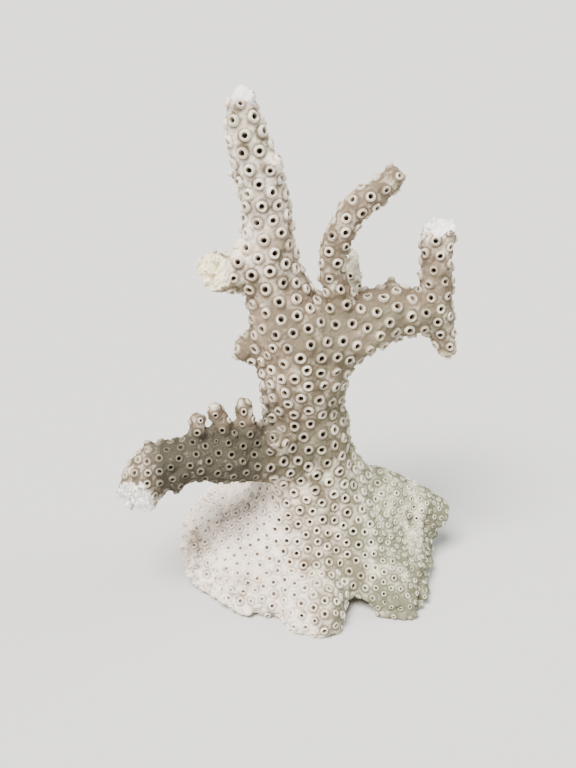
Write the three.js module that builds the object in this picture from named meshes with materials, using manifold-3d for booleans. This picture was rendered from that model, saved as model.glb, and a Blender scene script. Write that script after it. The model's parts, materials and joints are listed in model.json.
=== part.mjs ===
// A dead branching coral, as one upright skeleton: a spreading foot with a lobed rim, a thick stem,
// and tapering branches that fuse into it with smooth fillets. Some ends are rounded tips, others are
// old breaks. The skeleton is parted at its main forks, and its foot is cut off flat at z = 0.
// Millimetres, +Z up. The origin is on the flat underside, below the stem.
import * as THREE from "three";
import { mergeVertices } from "three/addons/utils/BufferGeometryUtils.js";
import Module from "manifold-3d";

// ---------------------------------------------------------------- driving dimensions
const SEAM_GAP = 0.3; // clear space left between two parts at a fork
const FOOT_TOP_Z = 36; // where the stem leaves the foot
const FOOT_SIDE_Z = 29; // the foot's upper limit under the low branch's end
const FOOT_SIDE_X = -30;
const FORK_Z = 94; // main fork: leader, curved branch and back stub start here
const NOTCH_X = 0.3; // between the leader and the curved branch
const STUB_Y = 4; // between the curved branch and the back stub
const ARM_X = 14; // the stem ends and the right arm starts
const UPRIGHT_X = 28.5; // the right arm ends and the upright starts
const LOWER_STUB_Z = 80; // below this the upright carries on as a short stub
const SIDE_STUB_X = -23; // the broken stub starts on the leader's left
const SIDE_STUB_TOP_Z = 113;
const LOW_BRANCH_X = -17.5; // the low branch starts on the stem's left
const LOW_BRANCH_TOP_Z = 63;
const BRANCHLET_Z = 53.8; // the three branchlets start on the low branch's top
const BRANCHLET_X = [-31.4, -24.3]; // between the outer, middle and inner branchlet
const BRANCHLET_Y = [-20, -4];

// Stem and branches. Each path row is the centre x, y, z and the radius there. blend is the width
// over which a branch's fillet runs out where it joins what is listed before it.
const GROWTH = {
  stem: { blend: 4.0, path: [[-2.1, 3.0, 26.3, 14.6], [-2.6, 2.5, 41.0, 13.7], [-3.6, 2.0, 49.9, 12.9], [-4.6, 1.0, 58.8, 12.0], [-4.3, 0.0, 66.6, 12.6], [-4.7, 0.0, 74.0, 13.6], [-6.2, 0.0, 80.3, 13.2], [-8.9, 0.0, 85.7, 11.1], [-11.1, 0.0, 91.2, 9.3], [-12.7, 0.0, 96.0, 8.3], [-13.9, 0.5, 101.9, 7.6], [-14.4, 0.5, 108.9, 6.9], [-14.7, 0.0, 115.4, 6.7], [-15.7, -0.5, 121.1, 6.4], [-16.7, -1.0, 126.8, 6.2], [-18.3, -1.5, 132.9, 5.8], [-19.9, -2.0, 138.3, 5.0], [-20.5, -2.0, 143.0, 4.3], [-20.8, -2.0, 146.7, 3.3], [-20.9, -2.0, 149.2, 2.0]] },
  right_arm: { blend: 5.0, path: [[0.0, 0.0, 78.1, 10.6], [7.9, 0.5, 81.4, 9.7], [14.7, 1.5, 84.5, 8.5], [20.6, 2.5, 86.1, 7.5], [25.6, 3.0, 86.4, 6.8], [30.1, 3.5, 86.2, 5.9], [33.7, 4.0, 86.1, 4.7]] },
  curved_branch: { blend: 2.2, path: [[7.9, -1.0, 81.0, 5.8], [7.3, -2.5, 89.0, 4.9], [6.0, -3.5, 94.8, 4.4], [4.7, -4.0, 101.2, 4.4], [5.0, -4.0, 107.6, 4.4], [6.7, -4.0, 113.0, 4.1], [9.1, -3.5, 117.7, 3.9], [12.3, -3.0, 121.3, 3.7], [16.4, -2.0, 124.1, 3.4], [20.0, -1.0, 126.6, 2.9]] },
  back_stub: { blend: 2.5, path: [[9.8, 8.0, 82.7, 3.6], [10.3, 10.0, 89.3, 3.1], [10.5, 11.0, 95.2, 2.7], [10.3, 11.5, 100.3, 2.4]] },
  arm_nub: { blend: 2.5, path: [[21.5, 5.0, 91.3, 2.6], [21.5, 6.0, 93.3, 1.3]] },
  right_upright: { blend: 4.0, path: [[38.4, 2.0, 75.1, 2.5], [36.7, 3.0, 79.5, 3.2], [35.3, 3.6, 84.3, 4.0], [34.8, 4.0, 89.8, 4.3], [34.3, 4.0, 95.9, 4.4], [33.9, 4.0, 101.4, 4.5], [33.9, 4.0, 106.4, 4.4], [34.5, 4.5, 111.3, 4.4], [34.6, 4.5, 115.1, 4.3]] },
  leader_side_stub: { blend: 5.0, path: [[-13.9, 0.0, 102.0, 6.3], [-19.0, -1.5, 101.7, 5.7], [-24.6, -3.0, 100.9, 5.4], [-30.2, -4.5, 100.8, 5.5], [-34.6, -5.5, 100.8, 5.5]] },
  lower_left_branch: { blend: 5.5, path: [[-8.2, -3.0, 44.5, 8.6], [-14.2, -6.5, 44.0, 7.9], [-20.8, -9.5, 44.9, 7.2], [-28.4, -12.0, 45.9, 6.7], [-35.9, -14.0, 46.3, 6.6], [-42.8, -16.0, 46.1, 6.7], [-47.6, -17.5, 44.7, 6.9], [-51.4, -18.5, 41.1, 6.6], [-53.2, -19.0, 37.0, 5.9]] },
  trunk_knob_left: { blend: 3.5, path: [[-16.5, 0.0, 75.0, 4.1], [-20.3, -1.0, 75.7, 3.2], [-22.0, -1.5, 75.9, 2.5]] },
  trunk_knob_front: { blend: 2.5, path: [[-10.3, -9.0, 50.4, 3.6], [-12.3, -12.0, 52.9, 2.5]] },
  branchlet_outer: { blend: 3.0, path: [[-35.5, -14.0, 50.6, 2.8], [-35.1, -14.0, 55.5, 2.5], [-35.0, -14.0, 59.1, 2.2]] },
  branchlet_middle: { blend: 3.0, path: [[-26.5, -12.0, 51.2, 2.9], [-28.1, -12.0, 56.8, 2.6], [-29.8, -12.0, 61.7, 2.3]] },
  branchlet_inner: { blend: 3.0, path: [[-20.4, -10.0, 50.9, 3.0], [-21.1, -10.0, 56.8, 2.6], [-21.6, -10.0, 61.7, 2.3]] },
  leader_nub_right: { blend: 1.5, path: [[-13.7, -4.0, 129.6, 2.2], [-12.3, -4.5, 131.6, 1.9]] },
  leader_nub_left: { blend: 1.2, path: [[-22.0, 0.0, 127.4, 1.6], [-23.6, 0.0, 127.5, 1.2]] },
  leader_nub_low: { blend: 1.5, path: [[-7.1, 0.0, 97.5, 1.9], [-5.4, 0.0, 99.5, 1.2]] },
  branch_nub_top: { blend: 1.2, path: [[-48.7, -14.0, 49.6, 2.3], [-49.7, -14.0, 51.8, 1.0]] },
  branch_nub_low: { blend: 1.5, path: [[-41.3, -20.0, 43.6, 2.3], [-41.2, -20.0, 40.6, 1.2]] },
  base_nub_right: { blend: 9.0, path: [[25.0, 8.0, 21.9, 6.5], [34.3, 8.5, 18.6, 4.6], [41.1, 9.0, 14.6, 3.1]] },
};

// The foot, by compass angle in degrees from +X: rim radius, shoulder height, how hollow the slope
// is from stem to shoulder, and how far the rim is lifted off the ground.
const FOOT = [
  [0, 38.5, 15.5, 1.15, 2.5], [14, 40.5, 17.5, 1.05, 4.5], [28, 41.5, 18, 1.05, 3], [45, 41, 17.5, 1.2, 1],
  [65, 39, 15.5, 1.5, 1.5], [90, 38, 15, 1.7, 1], [115, 40, 17, 1.7, 2], [132, 44, 20.5, 1.6, 3],
  [148, 46, 21, 1.7, 4], [165, 44.5, 19, 1.9, 3.5], [182, 42.8, 16.5, 2.1, 3], [200, 42.8, 14, 2.2, 3.5],
  [214, 40.5, 12.5, 2.2, 3.5], [228, 39.5, 11.5, 2.2, 3], [240, 37, 11, 2.2, 2.5], [249, 32.5, 11, 2.1, 2],
  [260, 37.3, 10.5, 2, 0.5], [270, 38.8, 10.5, 2, 0], [279, 37.3, 10.5, 2, 0], [288, 29, 11.5, 2, 1],
  [298, 29, 12.5, 1.9, 1.5], [307, 38, 12.5, 1.7, 0.5], [315, 42.6, 12.5, 1.6, 0], [325, 40.4, 13, 1.5, 0.5],
  [343, 37, 14.5, 1.3, 0.5],
];
const FOOT_CENTRE = [-1, 2]; // where the slope's top lies
const SLOPE_TOP_R = 11;
const SLOPE_TOP_Z = 40;
const SHOULDER_IN = 8; // the shoulder's distance inside the rim
const SHOULDER_ROUNDING = 12;
const RIM_UNDERCUT = 13; // how far in the lifted rim reaches
const RECESS = [[11.5, -42, -0.5, 6.2], [13, -26, -0.5, 5.4], [13, -15, -1, 3.5]]; // arched recess under the front rim

// Breaks: a point on each broken face and its outward direction.
const BREAKS = {
  right_upright: [{ at: [34.0, 4.5, 111.3], out: [0.05, -0.17, 0.98] }],
  leader_side_stub: [{ at: [-30.2, -4.8, 100.9], out: [-0.74, -0.66, 0.12] }],
  lower_left_branch: [{ at: [-52.6, -20.6, 38.2], out: [-0.32, -0.66, -0.68] }],
};

// ---------------------------------------------------------------- the coral's surface as a field
const clamp = (v, lo, hi) => Math.min(Math.max(v, lo), hi);
function smoothMin(a, b, k) {
  const h = Math.max(k - Math.abs(a - b), 0) / k;
  return Math.min(a, b) - h * h * k * 0.25;
}
const smoothMax = (a, b, k) => -smoothMin(-a, -b, k);

// A Catmull-Rom run through a path's rows, in steps of about 2 mm.
function sampled(rows, step = 2) {
  const mirror = (a, b) => a.map((v, i) => 2 * v - b[i]);
  const p = [mirror(rows[0], rows[1]), ...rows, mirror(rows[rows.length - 1], rows[rows.length - 2])];
  const out = [];
  for (let i = 1; i < p.length - 2; i++) {
    const [a, b, c, d] = [p[i - 1], p[i], p[i + 1], p[i + 2]];
    const n = Math.max(2, Math.ceil(Math.hypot(c[0] - b[0], c[1] - b[1], c[2] - b[2]) / step));
    for (let j = 0; j < n; j++) {
      const t = j / n;
      out.push(b.map((_, k) => 0.5 * (2 * b[k] + (c[k] - a[k]) * t + (2 * a[k] - 5 * b[k] + 4 * c[k] - d[k]) * t * t + (3 * b[k] - a[k] - 3 * c[k] + d[k]) * t * t * t)));
    }
  }
  out.push(p[p.length - 2]);
  return out;
}
const LIMBS = Object.values(GROWTH).map(({ blend, path }) => {
  const rows = sampled(path);
  const reach = Math.max(...rows.map((r) => r[3])) + blend + 1;
  const lo = [0, 1, 2].map((k) => Math.min(...rows.map((r) => r[k])) - reach);
  const hi = [0, 1, 2].map((k) => Math.max(...rows.map((r) => r[k])) + reach);
  return { blend, rows, lo, hi };
});

// Distance to a chain of rounded cones.
function limbDistance(rows, x, y, z) {
  let best = 1e9;
  for (let i = 0; i + 1 < rows.length; i++) {
    const a = rows[i], b = rows[i + 1];
    const ux = b[0] - a[0], uy = b[1] - a[1], uz = b[2] - a[2];
    const px = x - a[0], py = y - a[1], pz = z - a[2];
    const t = clamp((px * ux + py * uy + pz * uz) / (ux * ux + uy * uy + uz * uz), 0, 1);
    best = Math.min(best, Math.hypot(px - t * ux, py - t * uy, pz - t * uz) - (a[3] + t * (b[3] - a[3])));
  }
  return best;
}

// The foot's table, once a degree. Slopes follow a smoothed copy, so that only the rim is lobed.
function periodic(angle, column) {
  const n = FOOT.length;
  const row = (i) => FOOT[((i % n) + n) % n];
  const at = (i) => row(i)[0] + 360 * Math.floor(i / n);
  let i = 0;
  while (i + 1 < n && FOOT[i + 1][0] <= angle) i++;
  const [x0, x1, x2, x3] = [at(i - 1), at(i), at(i + 1), at(i + 2)];
  const [y0, y1, y2, y3] = [i - 1, i, i + 1, i + 2].map((j) => row(j)[column]);
  const t = (angle - x1) / (x2 - x1);
  const m1 = ((y2 - y0) / (x2 - x0)) * (x2 - x1), m2 = ((y3 - y1) / (x3 - x1)) * (x2 - x1);
  return (2 * t ** 3 - 3 * t ** 2 + 1) * y1 + (t ** 3 - 2 * t ** 2 + t) * m1 + (-2 * t ** 3 + 3 * t ** 2) * y2 + (t ** 3 - t ** 2) * m2;
}
function smoothedRound(values, width) {
  const weights = [];
  for (let k = -90; k <= 90; k++) weights.push(Math.exp(-0.5 * (k / width) ** 2));
  const sum = weights.reduce((a, b) => a + b, 0);
  return values.map((_, i) => weights.reduce((s, w, k) => s + w * values[(i + k - 90 + 720) % 360], 0) / sum);
}
const round = [...Array(360).keys()];
const RIM = round.map((a) => periodic(a, 1));
const SHOULDER = smoothedRound(round.map((a) => periodic(a, 2)), 8);
const HOLLOW = smoothedRound(round.map((a) => periodic(a, 3)), 10);
const LIFT = round.map((a) => periodic(a, 4));
const RIM_SMOOTH = smoothedRound(RIM, 14);
function lookUp(table, angle) {
  const a = ((angle % 360) + 360) % 360, i = Math.min(Math.floor(a), 359);
  return table[i] * (1 - (a - i)) + table[(i + 1) % 360] * (a - i);
}
function slopeHeight(r, rim, shoulder, hollow) {
  const width = rim - SHOULDER_IN - SLOPE_TOP_R;
  const u = Math.max((r - SLOPE_TOP_R) / width, 0);
  const inner = shoulder + (SLOPE_TOP_Z - shoulder) * clamp(1 - u, 0, 1) ** hollow;
  if (u < 0.8) return inner;
  const fall = clamp(((SLOPE_TOP_Z - shoulder) / width) * 0.5, 0.15, 0.6);
  return Math.min(inner, shoulder + (SLOPE_TOP_Z - shoulder) * 0.2 ** hollow - fall * (u - 0.8) * width);
}
function footDistance(x, y, z) {
  const angle = (Math.atan2(y, x) * 180) / Math.PI, r = Math.hypot(x, y);
  const rim = lookUp(RIM, angle), soft = lookUp(RIM_SMOOTH, angle);
  const shoulder = lookUp(SHOULDER, angle), hollow = lookUp(HOLLOW, angle), lift = lookUp(LIFT, angle);
  const c = clamp(1 - (r - 10) / 25, 0, 1);
  const rt = Math.hypot(x - FOOT_CENTRE[0] * c, y - FOOT_CENTRE[1] * c);
  const h = slopeHeight(rt, soft, shoulder, hollow);
  const dh = slopeHeight(rt + 0.5, soft, shoulder, hollow) - slopeHeight(rt - 0.5, soft, shoulder, hollow);
  let f = smoothMax((z - h) / Math.sqrt(1 + Math.min(dh * dh, 9)), (r - rim) * 0.97, SHOULDER_ROUNDING);
  const s = clamp((r - (rim - RIM_UNDERCUT)) / RIM_UNDERCUT, 0, 1.3);
  f = smoothMax(f, (lift + 1.2) * s * s - 1.2 - z, 3);
  return smoothMax(f, -limbDistance(RECESS, x, y, z), 2);
}
function surfaceDistance(x, y, z) {
  let f = footDistance(x, y, z);
  for (const { blend, rows, lo, hi } of LIMBS)
    if (x > lo[0] && x < hi[0] && y > lo[1] && y < hi[1] && z > lo[2] && z < hi[2]) f = smoothMin(f, limbDistance(rows, x, y, z), blend);
  return f;
}

// ---------------------------------------------------------------- solids
const wasm = await Module();
wasm.setup();
function solid(geometry) {
  const bare = geometry.clone();
  bare.deleteAttribute("normal");
  bare.deleteAttribute("uv");
  const merged = mergeVertices(bare, 1e-4);
  return new wasm.Manifold(new wasm.Mesh({ numProp: 3, vertProperties: new Float32Array(merged.attributes.position.array), triVerts: new Uint32Array(merged.index.array) }));
}
const FAR = 90;
// A block between two corners, each side taken in by half the seam gap.
function block(lo, hi, inset = SEAM_GAP / 2) {
  const a = lo.map((v) => v + inset), b = hi.map((v) => v - inset);
  const g = new THREE.BoxGeometry(b[0] - a[0], b[1] - a[1], b[2] - a[2]);
  g.translate((a[0] + b[0]) / 2, (a[1] + b[1]) / 2, (a[2] + b[2]) / 2);
  return g;
}
const blockDistance = (lo, hi, p, grow) => Math.max(...[0, 1, 2].map((k) => Math.max(lo[k] - grow - p[k], p[k] - hi[k] - grow)));

// How far the coral reaches from a point inside it, within the part's own blocks. A branch keeps
// within FILLET of its own path, so that its root doesn't spread into the limb it springs from.
const FILLET = 2.2;
function reachOf(from, dir, blocks, most, grow, own) {
  const inside = (t) => {
    const p = [from[0] + dir[0] * t, from[1] + dir[1] * t, from[2] + dir[2] * t];
    return surfaceDistance(...p) < 0 && (!own || limbDistance(own, ...p) < FILLET) && Math.min(...blocks.map(([lo, hi]) => blockDistance(lo, hi, p, grow))) < 0;
  };
  let t = 0.3;
  while (t < most && inside(t)) t += 0.35;
  let lo = Math.max(t - 0.35, 0.05), hi = t;
  for (let i = 0; i < 14; i++) {
    const mid = (lo + hi) / 2;
    if (inside(mid)) lo = mid;
    else hi = mid;
  }
  return (lo + hi) / 2;
}

// A branch: a lathe profile wound round a curve, each ring let out to the coral's surface, with a
// domed end. The first point of the centre line lies a little past the fork.
function branch(centres, { path, rings, sides, dome = 4, blocks, most = 30, grow = 5 }) {
  const own = path && sampled(GROWTH[path].path);
  const curve = new THREE.CatmullRomCurve3(centres.map((c) => new THREE.Vector3(...c)), false, "centripetal");
  const frames = curve.computeFrenetFrames(rings, false);
  const profile = [new THREE.Vector2(0, 0)];
  for (let i = 0; i < rings + dome; i++) profile.push(new THREE.Vector2(1, i));
  profile.push(new THREE.Vector2(0, rings + dome));
  const g = new THREE.LatheGeometry(profile, sides);
  const pos = g.attributes.position;
  const known = new Map();
  for (let i = 0; i < pos.count; i++) {
    const row = Math.round(pos.getY(i)), axis = Math.hypot(pos.getX(i), pos.getZ(i)) < 0.5;
    const step = axis ? 0 : Math.round((Math.atan2(pos.getX(i), pos.getZ(i)) / (2 * Math.PI)) * sides + sides) % sides;
    const key = row + ":" + step + ":" + axis;
    if (!known.has(key)) {
      const along = Math.min(row, rings), centre = curve.getPointAt(along / rings);
      const phi = (step / sides) * 2 * Math.PI, lean = row <= rings ? 0 : ((row - rings) / dome) * (Math.PI / 2);
      const out = new THREE.Vector3().addScaledVector(frames.normals[along], Math.cos(phi)).addScaledVector(frames.binormals[along], Math.sin(phi));
      const dir = axis ? frames.tangents[along].clone() : out.multiplyScalar(Math.cos(lean)).addScaledVector(frames.tangents[along], Math.sin(lean));
      const t = axis && row === 0 ? 0 : reachOf(centre.toArray(), dir.toArray(), blocks, most, grow, own);
      known.set(key, centre.addScaledVector(dir, t));
    }
    const p = known.get(key);
    pos.setXYZ(i, p.x, p.y, p.z);
  }
  return g;
}

// A thick part: a ball let out from one inside point to the coral's surface.
function bulk(centre, { detail, stretch, blocks, most, grow = 1.2 }) {
  const g = new THREE.IcosahedronGeometry(1, detail);
  const pos = g.attributes.position;
  const known = new Map();
  for (let i = 0; i < pos.count; i++) {
    const key = [pos.getX(i), pos.getY(i), pos.getZ(i)].map((v) => v.toFixed(4)).join();
    if (!known.has(key)) {
      const dir = new THREE.Vector3(pos.getX(i) * stretch[0], pos.getY(i) * stretch[1], pos.getZ(i) * stretch[2]).normalize();
      known.set(key, new THREE.Vector3(...centre).addScaledVector(dir, reachOf(centre, dir.toArray(), blocks, most, grow)));
    }
    const p = known.get(key);
    pos.setXYZ(i, p.x, p.y, p.z);
  }
  return g;
}

// Half-space beyond a break, as a turned block.
function beyond({ at, out }) {
  const g = new THREE.BoxGeometry(30, 30, 30);
  g.translate(0, 0, 15);
  g.applyQuaternion(new THREE.Quaternion().setFromUnitVectors(new THREE.Vector3(0, 0, 1), new THREE.Vector3(...out).normalize()));
  g.translate(...at);
  return g;
}

const PALE = { color: 0xd9d2c2, roughness: 0.92, metalness: 0 };
const group = new THREE.Group();
group.name = "branching_coral";
function add(name, geometries, blocks, material, breaks = []) {
  let body = geometries.map(solid).reduce((a, b) => a.add(b));
  body = body.intersect(blocks.map(([lo, hi]) => solid(block(lo, hi))).reduce((a, b) => a.add(b)));
  for (const b of breaks) body = body.subtract(solid(beyond(b)));
  // Only the part's own body is kept: a shaving on the far side of a fork plane is dropped.
  const pieces = body.decompose().sort((a, b) => b.volume() - a.volume());
  const m = pieces[0].getMesh();
  const g = new THREE.BufferGeometry();
  g.setAttribute("position", new THREE.BufferAttribute(new Float32Array(m.vertProperties), 3));
  g.setIndex(new THREE.BufferAttribute(new Uint32Array(m.triVerts), 1));
  const mesh = new THREE.Mesh(g, new THREE.MeshStandardMaterial({ ...PALE, ...material }));
  mesh.name = name;
  group.add(mesh);
}
const centres = (name, from, to) => GROWTH[name].path.slice(from, to).map((r) => r.slice(0, 3));

// The blocks that each part may fill. Where a part has two, they overlap by LAP.
const G = SEAM_GAP / 2;
const LAP = 0.6;
const BLOCKS = {
  base: [[[FOOT_SIDE_X, -FAR, -G], [FAR, FAR, FOOT_TOP_Z]], [[-FAR, -FAR, -G], [FOOT_SIDE_X + LAP, FAR, FOOT_SIDE_Z]]],
  trunk: [
    [[LOW_BRANCH_X, -FAR, FOOT_TOP_Z], [ARM_X, FAR, FORK_Z]],
    [[-FAR, -FAR, LOW_BRANCH_TOP_Z], [LOW_BRANCH_X + LAP, FAR, FORK_Z]],
  ],
  leader: [
    [[SIDE_STUB_X, -FAR, FORK_Z], [NOTCH_X, FAR, 200]],
    [[-FAR, -FAR, SIDE_STUB_TOP_Z], [SIDE_STUB_X + LAP, FAR, 200]],
  ],
  leader_side_stub: [[[-FAR, -FAR, FORK_Z], [SIDE_STUB_X, FAR, SIDE_STUB_TOP_Z]]],
  curved_branch: [[[NOTCH_X, -FAR, FORK_Z], [FAR, STUB_Y, 200]]],
  back_stub: [[[NOTCH_X, STUB_Y, FORK_Z], [ARM_X, FAR, 200]]],
  right_arm: [[[ARM_X, -FAR, 60], [UPRIGHT_X, FAR, 106]]],
  right_upright: [[[UPRIGHT_X, -FAR, LOWER_STUB_Z], [FAR, FAR, 200]]],
  right_lower_stub: [[[UPRIGHT_X, -FAR, 60], [FAR, FAR, LOWER_STUB_Z]]],
  lower_left_branch: [
    [[FOOT_SIDE_X, -FAR, FOOT_TOP_Z], [LOW_BRANCH_X, FAR, BRANCHLET_Z]],
    [[-FAR, -FAR, FOOT_SIDE_Z], [FOOT_SIDE_X + LAP, FAR, BRANCHLET_Z]],
  ],
  branchlet_outer: [[[-FAR, BRANCHLET_Y[0], BRANCHLET_Z], [BRANCHLET_X[0], BRANCHLET_Y[1], 70]]],
  branchlet_middle: [[[BRANCHLET_X[0], BRANCHLET_Y[0], BRANCHLET_Z], [BRANCHLET_X[1], BRANCHLET_Y[1], 70]]],
  branchlet_inner: [[[BRANCHLET_X[1], BRANCHLET_Y[0], BRANCHLET_Z], [LOW_BRANCH_X, BRANCHLET_Y[1], 70]]],
};

add("base", [bulk([0, 0, 9], { detail: 10, stretch: [1.5, 1.5, 1], blocks: BLOCKS.base, most: 60 })], BLOCKS.base, { color: 0xdcd8cc });
add("trunk", [branch([[-2.5, 1.5, 34.6], [-3.6, 0.8, 50], [-3.8, 0, 60], [-3.2, 0, 72], [-2.2, 0, 83]], { rings: 17, sides: 30, dome: 8, blocks: BLOCKS.trunk, most: 30, grow: 1.5 })], BLOCKS.trunk, {});
add("leader", [branch([[-11.4, 0, 91.2], ...centres("stem", 9, 20)], { path: "stem", rings: 22, sides: 20, blocks: BLOCKS.leader })], BLOCKS.leader, {});
add("leader_side_stub", [branch([[-20.6, -1.9, 101.5], ...centres("leader_side_stub", 2, 5)], { path: "leader_side_stub", rings: 7, sides: 18, blocks: BLOCKS.leader_side_stub })], BLOCKS.leader_side_stub, { color: 0xd8cdae }, BREAKS.leader_side_stub);
add("curved_branch", [branch([[6.5, -3.1, 91.6], ...centres("curved_branch", 2, 10)], { path: "curved_branch", rings: 19, sides: 14, blocks: BLOCKS.curved_branch })], BLOCKS.curved_branch, {});
add("back_stub", [branch([[10.5, 10.7, 92], ...centres("back_stub", 2, 4)], { path: "back_stub", rings: 5, sides: 12, blocks: BLOCKS.back_stub })], BLOCKS.back_stub, { color: 0xd2d4c6 });
add("right_arm", [branch([[11.4, 1.0, 83], [14.7, 1.5, 84.5], ...centres("right_arm", 3, 5), [31, 3.7, 86.2]], { path: "right_arm", rings: 9, sides: 20, dome: 2, blocks: BLOCKS.right_arm })], BLOCKS.right_arm, {});
add("right_upright", [branch([[36.5, 3.1, 78.5], [35.6, 3.4, 83.5], ...centres("right_upright", 3, 9)], { path: "right_upright", rings: 15, sides: 18, blocks: BLOCKS.right_upright })], BLOCKS.right_upright, {}, BREAKS.right_upright);
add("right_lower_stub", [branch([[35.6, 3.4, 82.6], [36.7, 3, 79.5], [38.4, 2, 75.1]], { path: "right_upright", rings: 6, sides: 12, blocks: BLOCKS.right_lower_stub })], BLOCKS.right_lower_stub, {});
add("lower_left_branch", [branch([[-15.4, -7.1, 44.2], ...centres("lower_left_branch", 2, 9)], { path: "lower_left_branch", rings: 20, sides: 20, blocks: BLOCKS.lower_left_branch })], BLOCKS.lower_left_branch, { color: 0xbfb7a2 }, BREAKS.lower_left_branch);
const BRANCHLET = { rings: 5, sides: 12 };
add("branchlet_outer", [branch([[-35.4, -14, 51.6], ...centres("branchlet_outer", 1, 3)], { ...BRANCHLET, path: "branchlet_outer", blocks: BLOCKS.branchlet_outer })], BLOCKS.branchlet_outer, {});
add("branchlet_middle", [branch([[-26.7, -12, 51.6], ...centres("branchlet_middle", 1, 3)], { ...BRANCHLET, path: "branchlet_middle", blocks: BLOCKS.branchlet_middle })], BLOCKS.branchlet_middle, {});
add("branchlet_inner", [branch([[-20.5, -10, 51.6], ...centres("branchlet_inner", 1, 3)], { ...BRANCHLET, path: "branchlet_inner", blocks: BLOCKS.branchlet_inner })], BLOCKS.branchlet_inner, {});

export default group;
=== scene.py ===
import json
import math
import time

import bpy
import numpy as np
from mathutils import Matrix, Vector
from mathutils.geometry import delaunay_2d_cdt
from mathutils.kdtree import KDTree


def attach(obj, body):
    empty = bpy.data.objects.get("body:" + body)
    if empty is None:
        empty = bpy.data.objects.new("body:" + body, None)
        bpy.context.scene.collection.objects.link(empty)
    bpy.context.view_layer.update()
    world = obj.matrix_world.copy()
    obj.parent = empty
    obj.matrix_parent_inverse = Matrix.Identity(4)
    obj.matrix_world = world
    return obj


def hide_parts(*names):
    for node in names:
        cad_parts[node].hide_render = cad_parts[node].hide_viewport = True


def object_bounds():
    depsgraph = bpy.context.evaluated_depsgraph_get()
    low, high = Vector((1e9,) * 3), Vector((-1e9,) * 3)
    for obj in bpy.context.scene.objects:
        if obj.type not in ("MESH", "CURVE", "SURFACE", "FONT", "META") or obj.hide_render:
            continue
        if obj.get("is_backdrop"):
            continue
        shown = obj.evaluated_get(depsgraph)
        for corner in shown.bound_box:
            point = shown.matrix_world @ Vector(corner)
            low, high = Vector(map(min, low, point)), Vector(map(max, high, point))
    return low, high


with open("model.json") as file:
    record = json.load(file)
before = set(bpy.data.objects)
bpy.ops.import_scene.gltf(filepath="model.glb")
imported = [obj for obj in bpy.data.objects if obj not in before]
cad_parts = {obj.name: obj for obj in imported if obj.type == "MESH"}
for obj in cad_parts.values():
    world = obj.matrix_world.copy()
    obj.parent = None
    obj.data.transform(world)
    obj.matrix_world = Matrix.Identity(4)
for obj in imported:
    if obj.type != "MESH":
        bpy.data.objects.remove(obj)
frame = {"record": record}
CAD_BOX = [list(map(float, c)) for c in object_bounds()]
T0 = time.time()


def note(*words):
    print("[coral]", round(time.time() - T0, 1), *words, flush=True)


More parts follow.
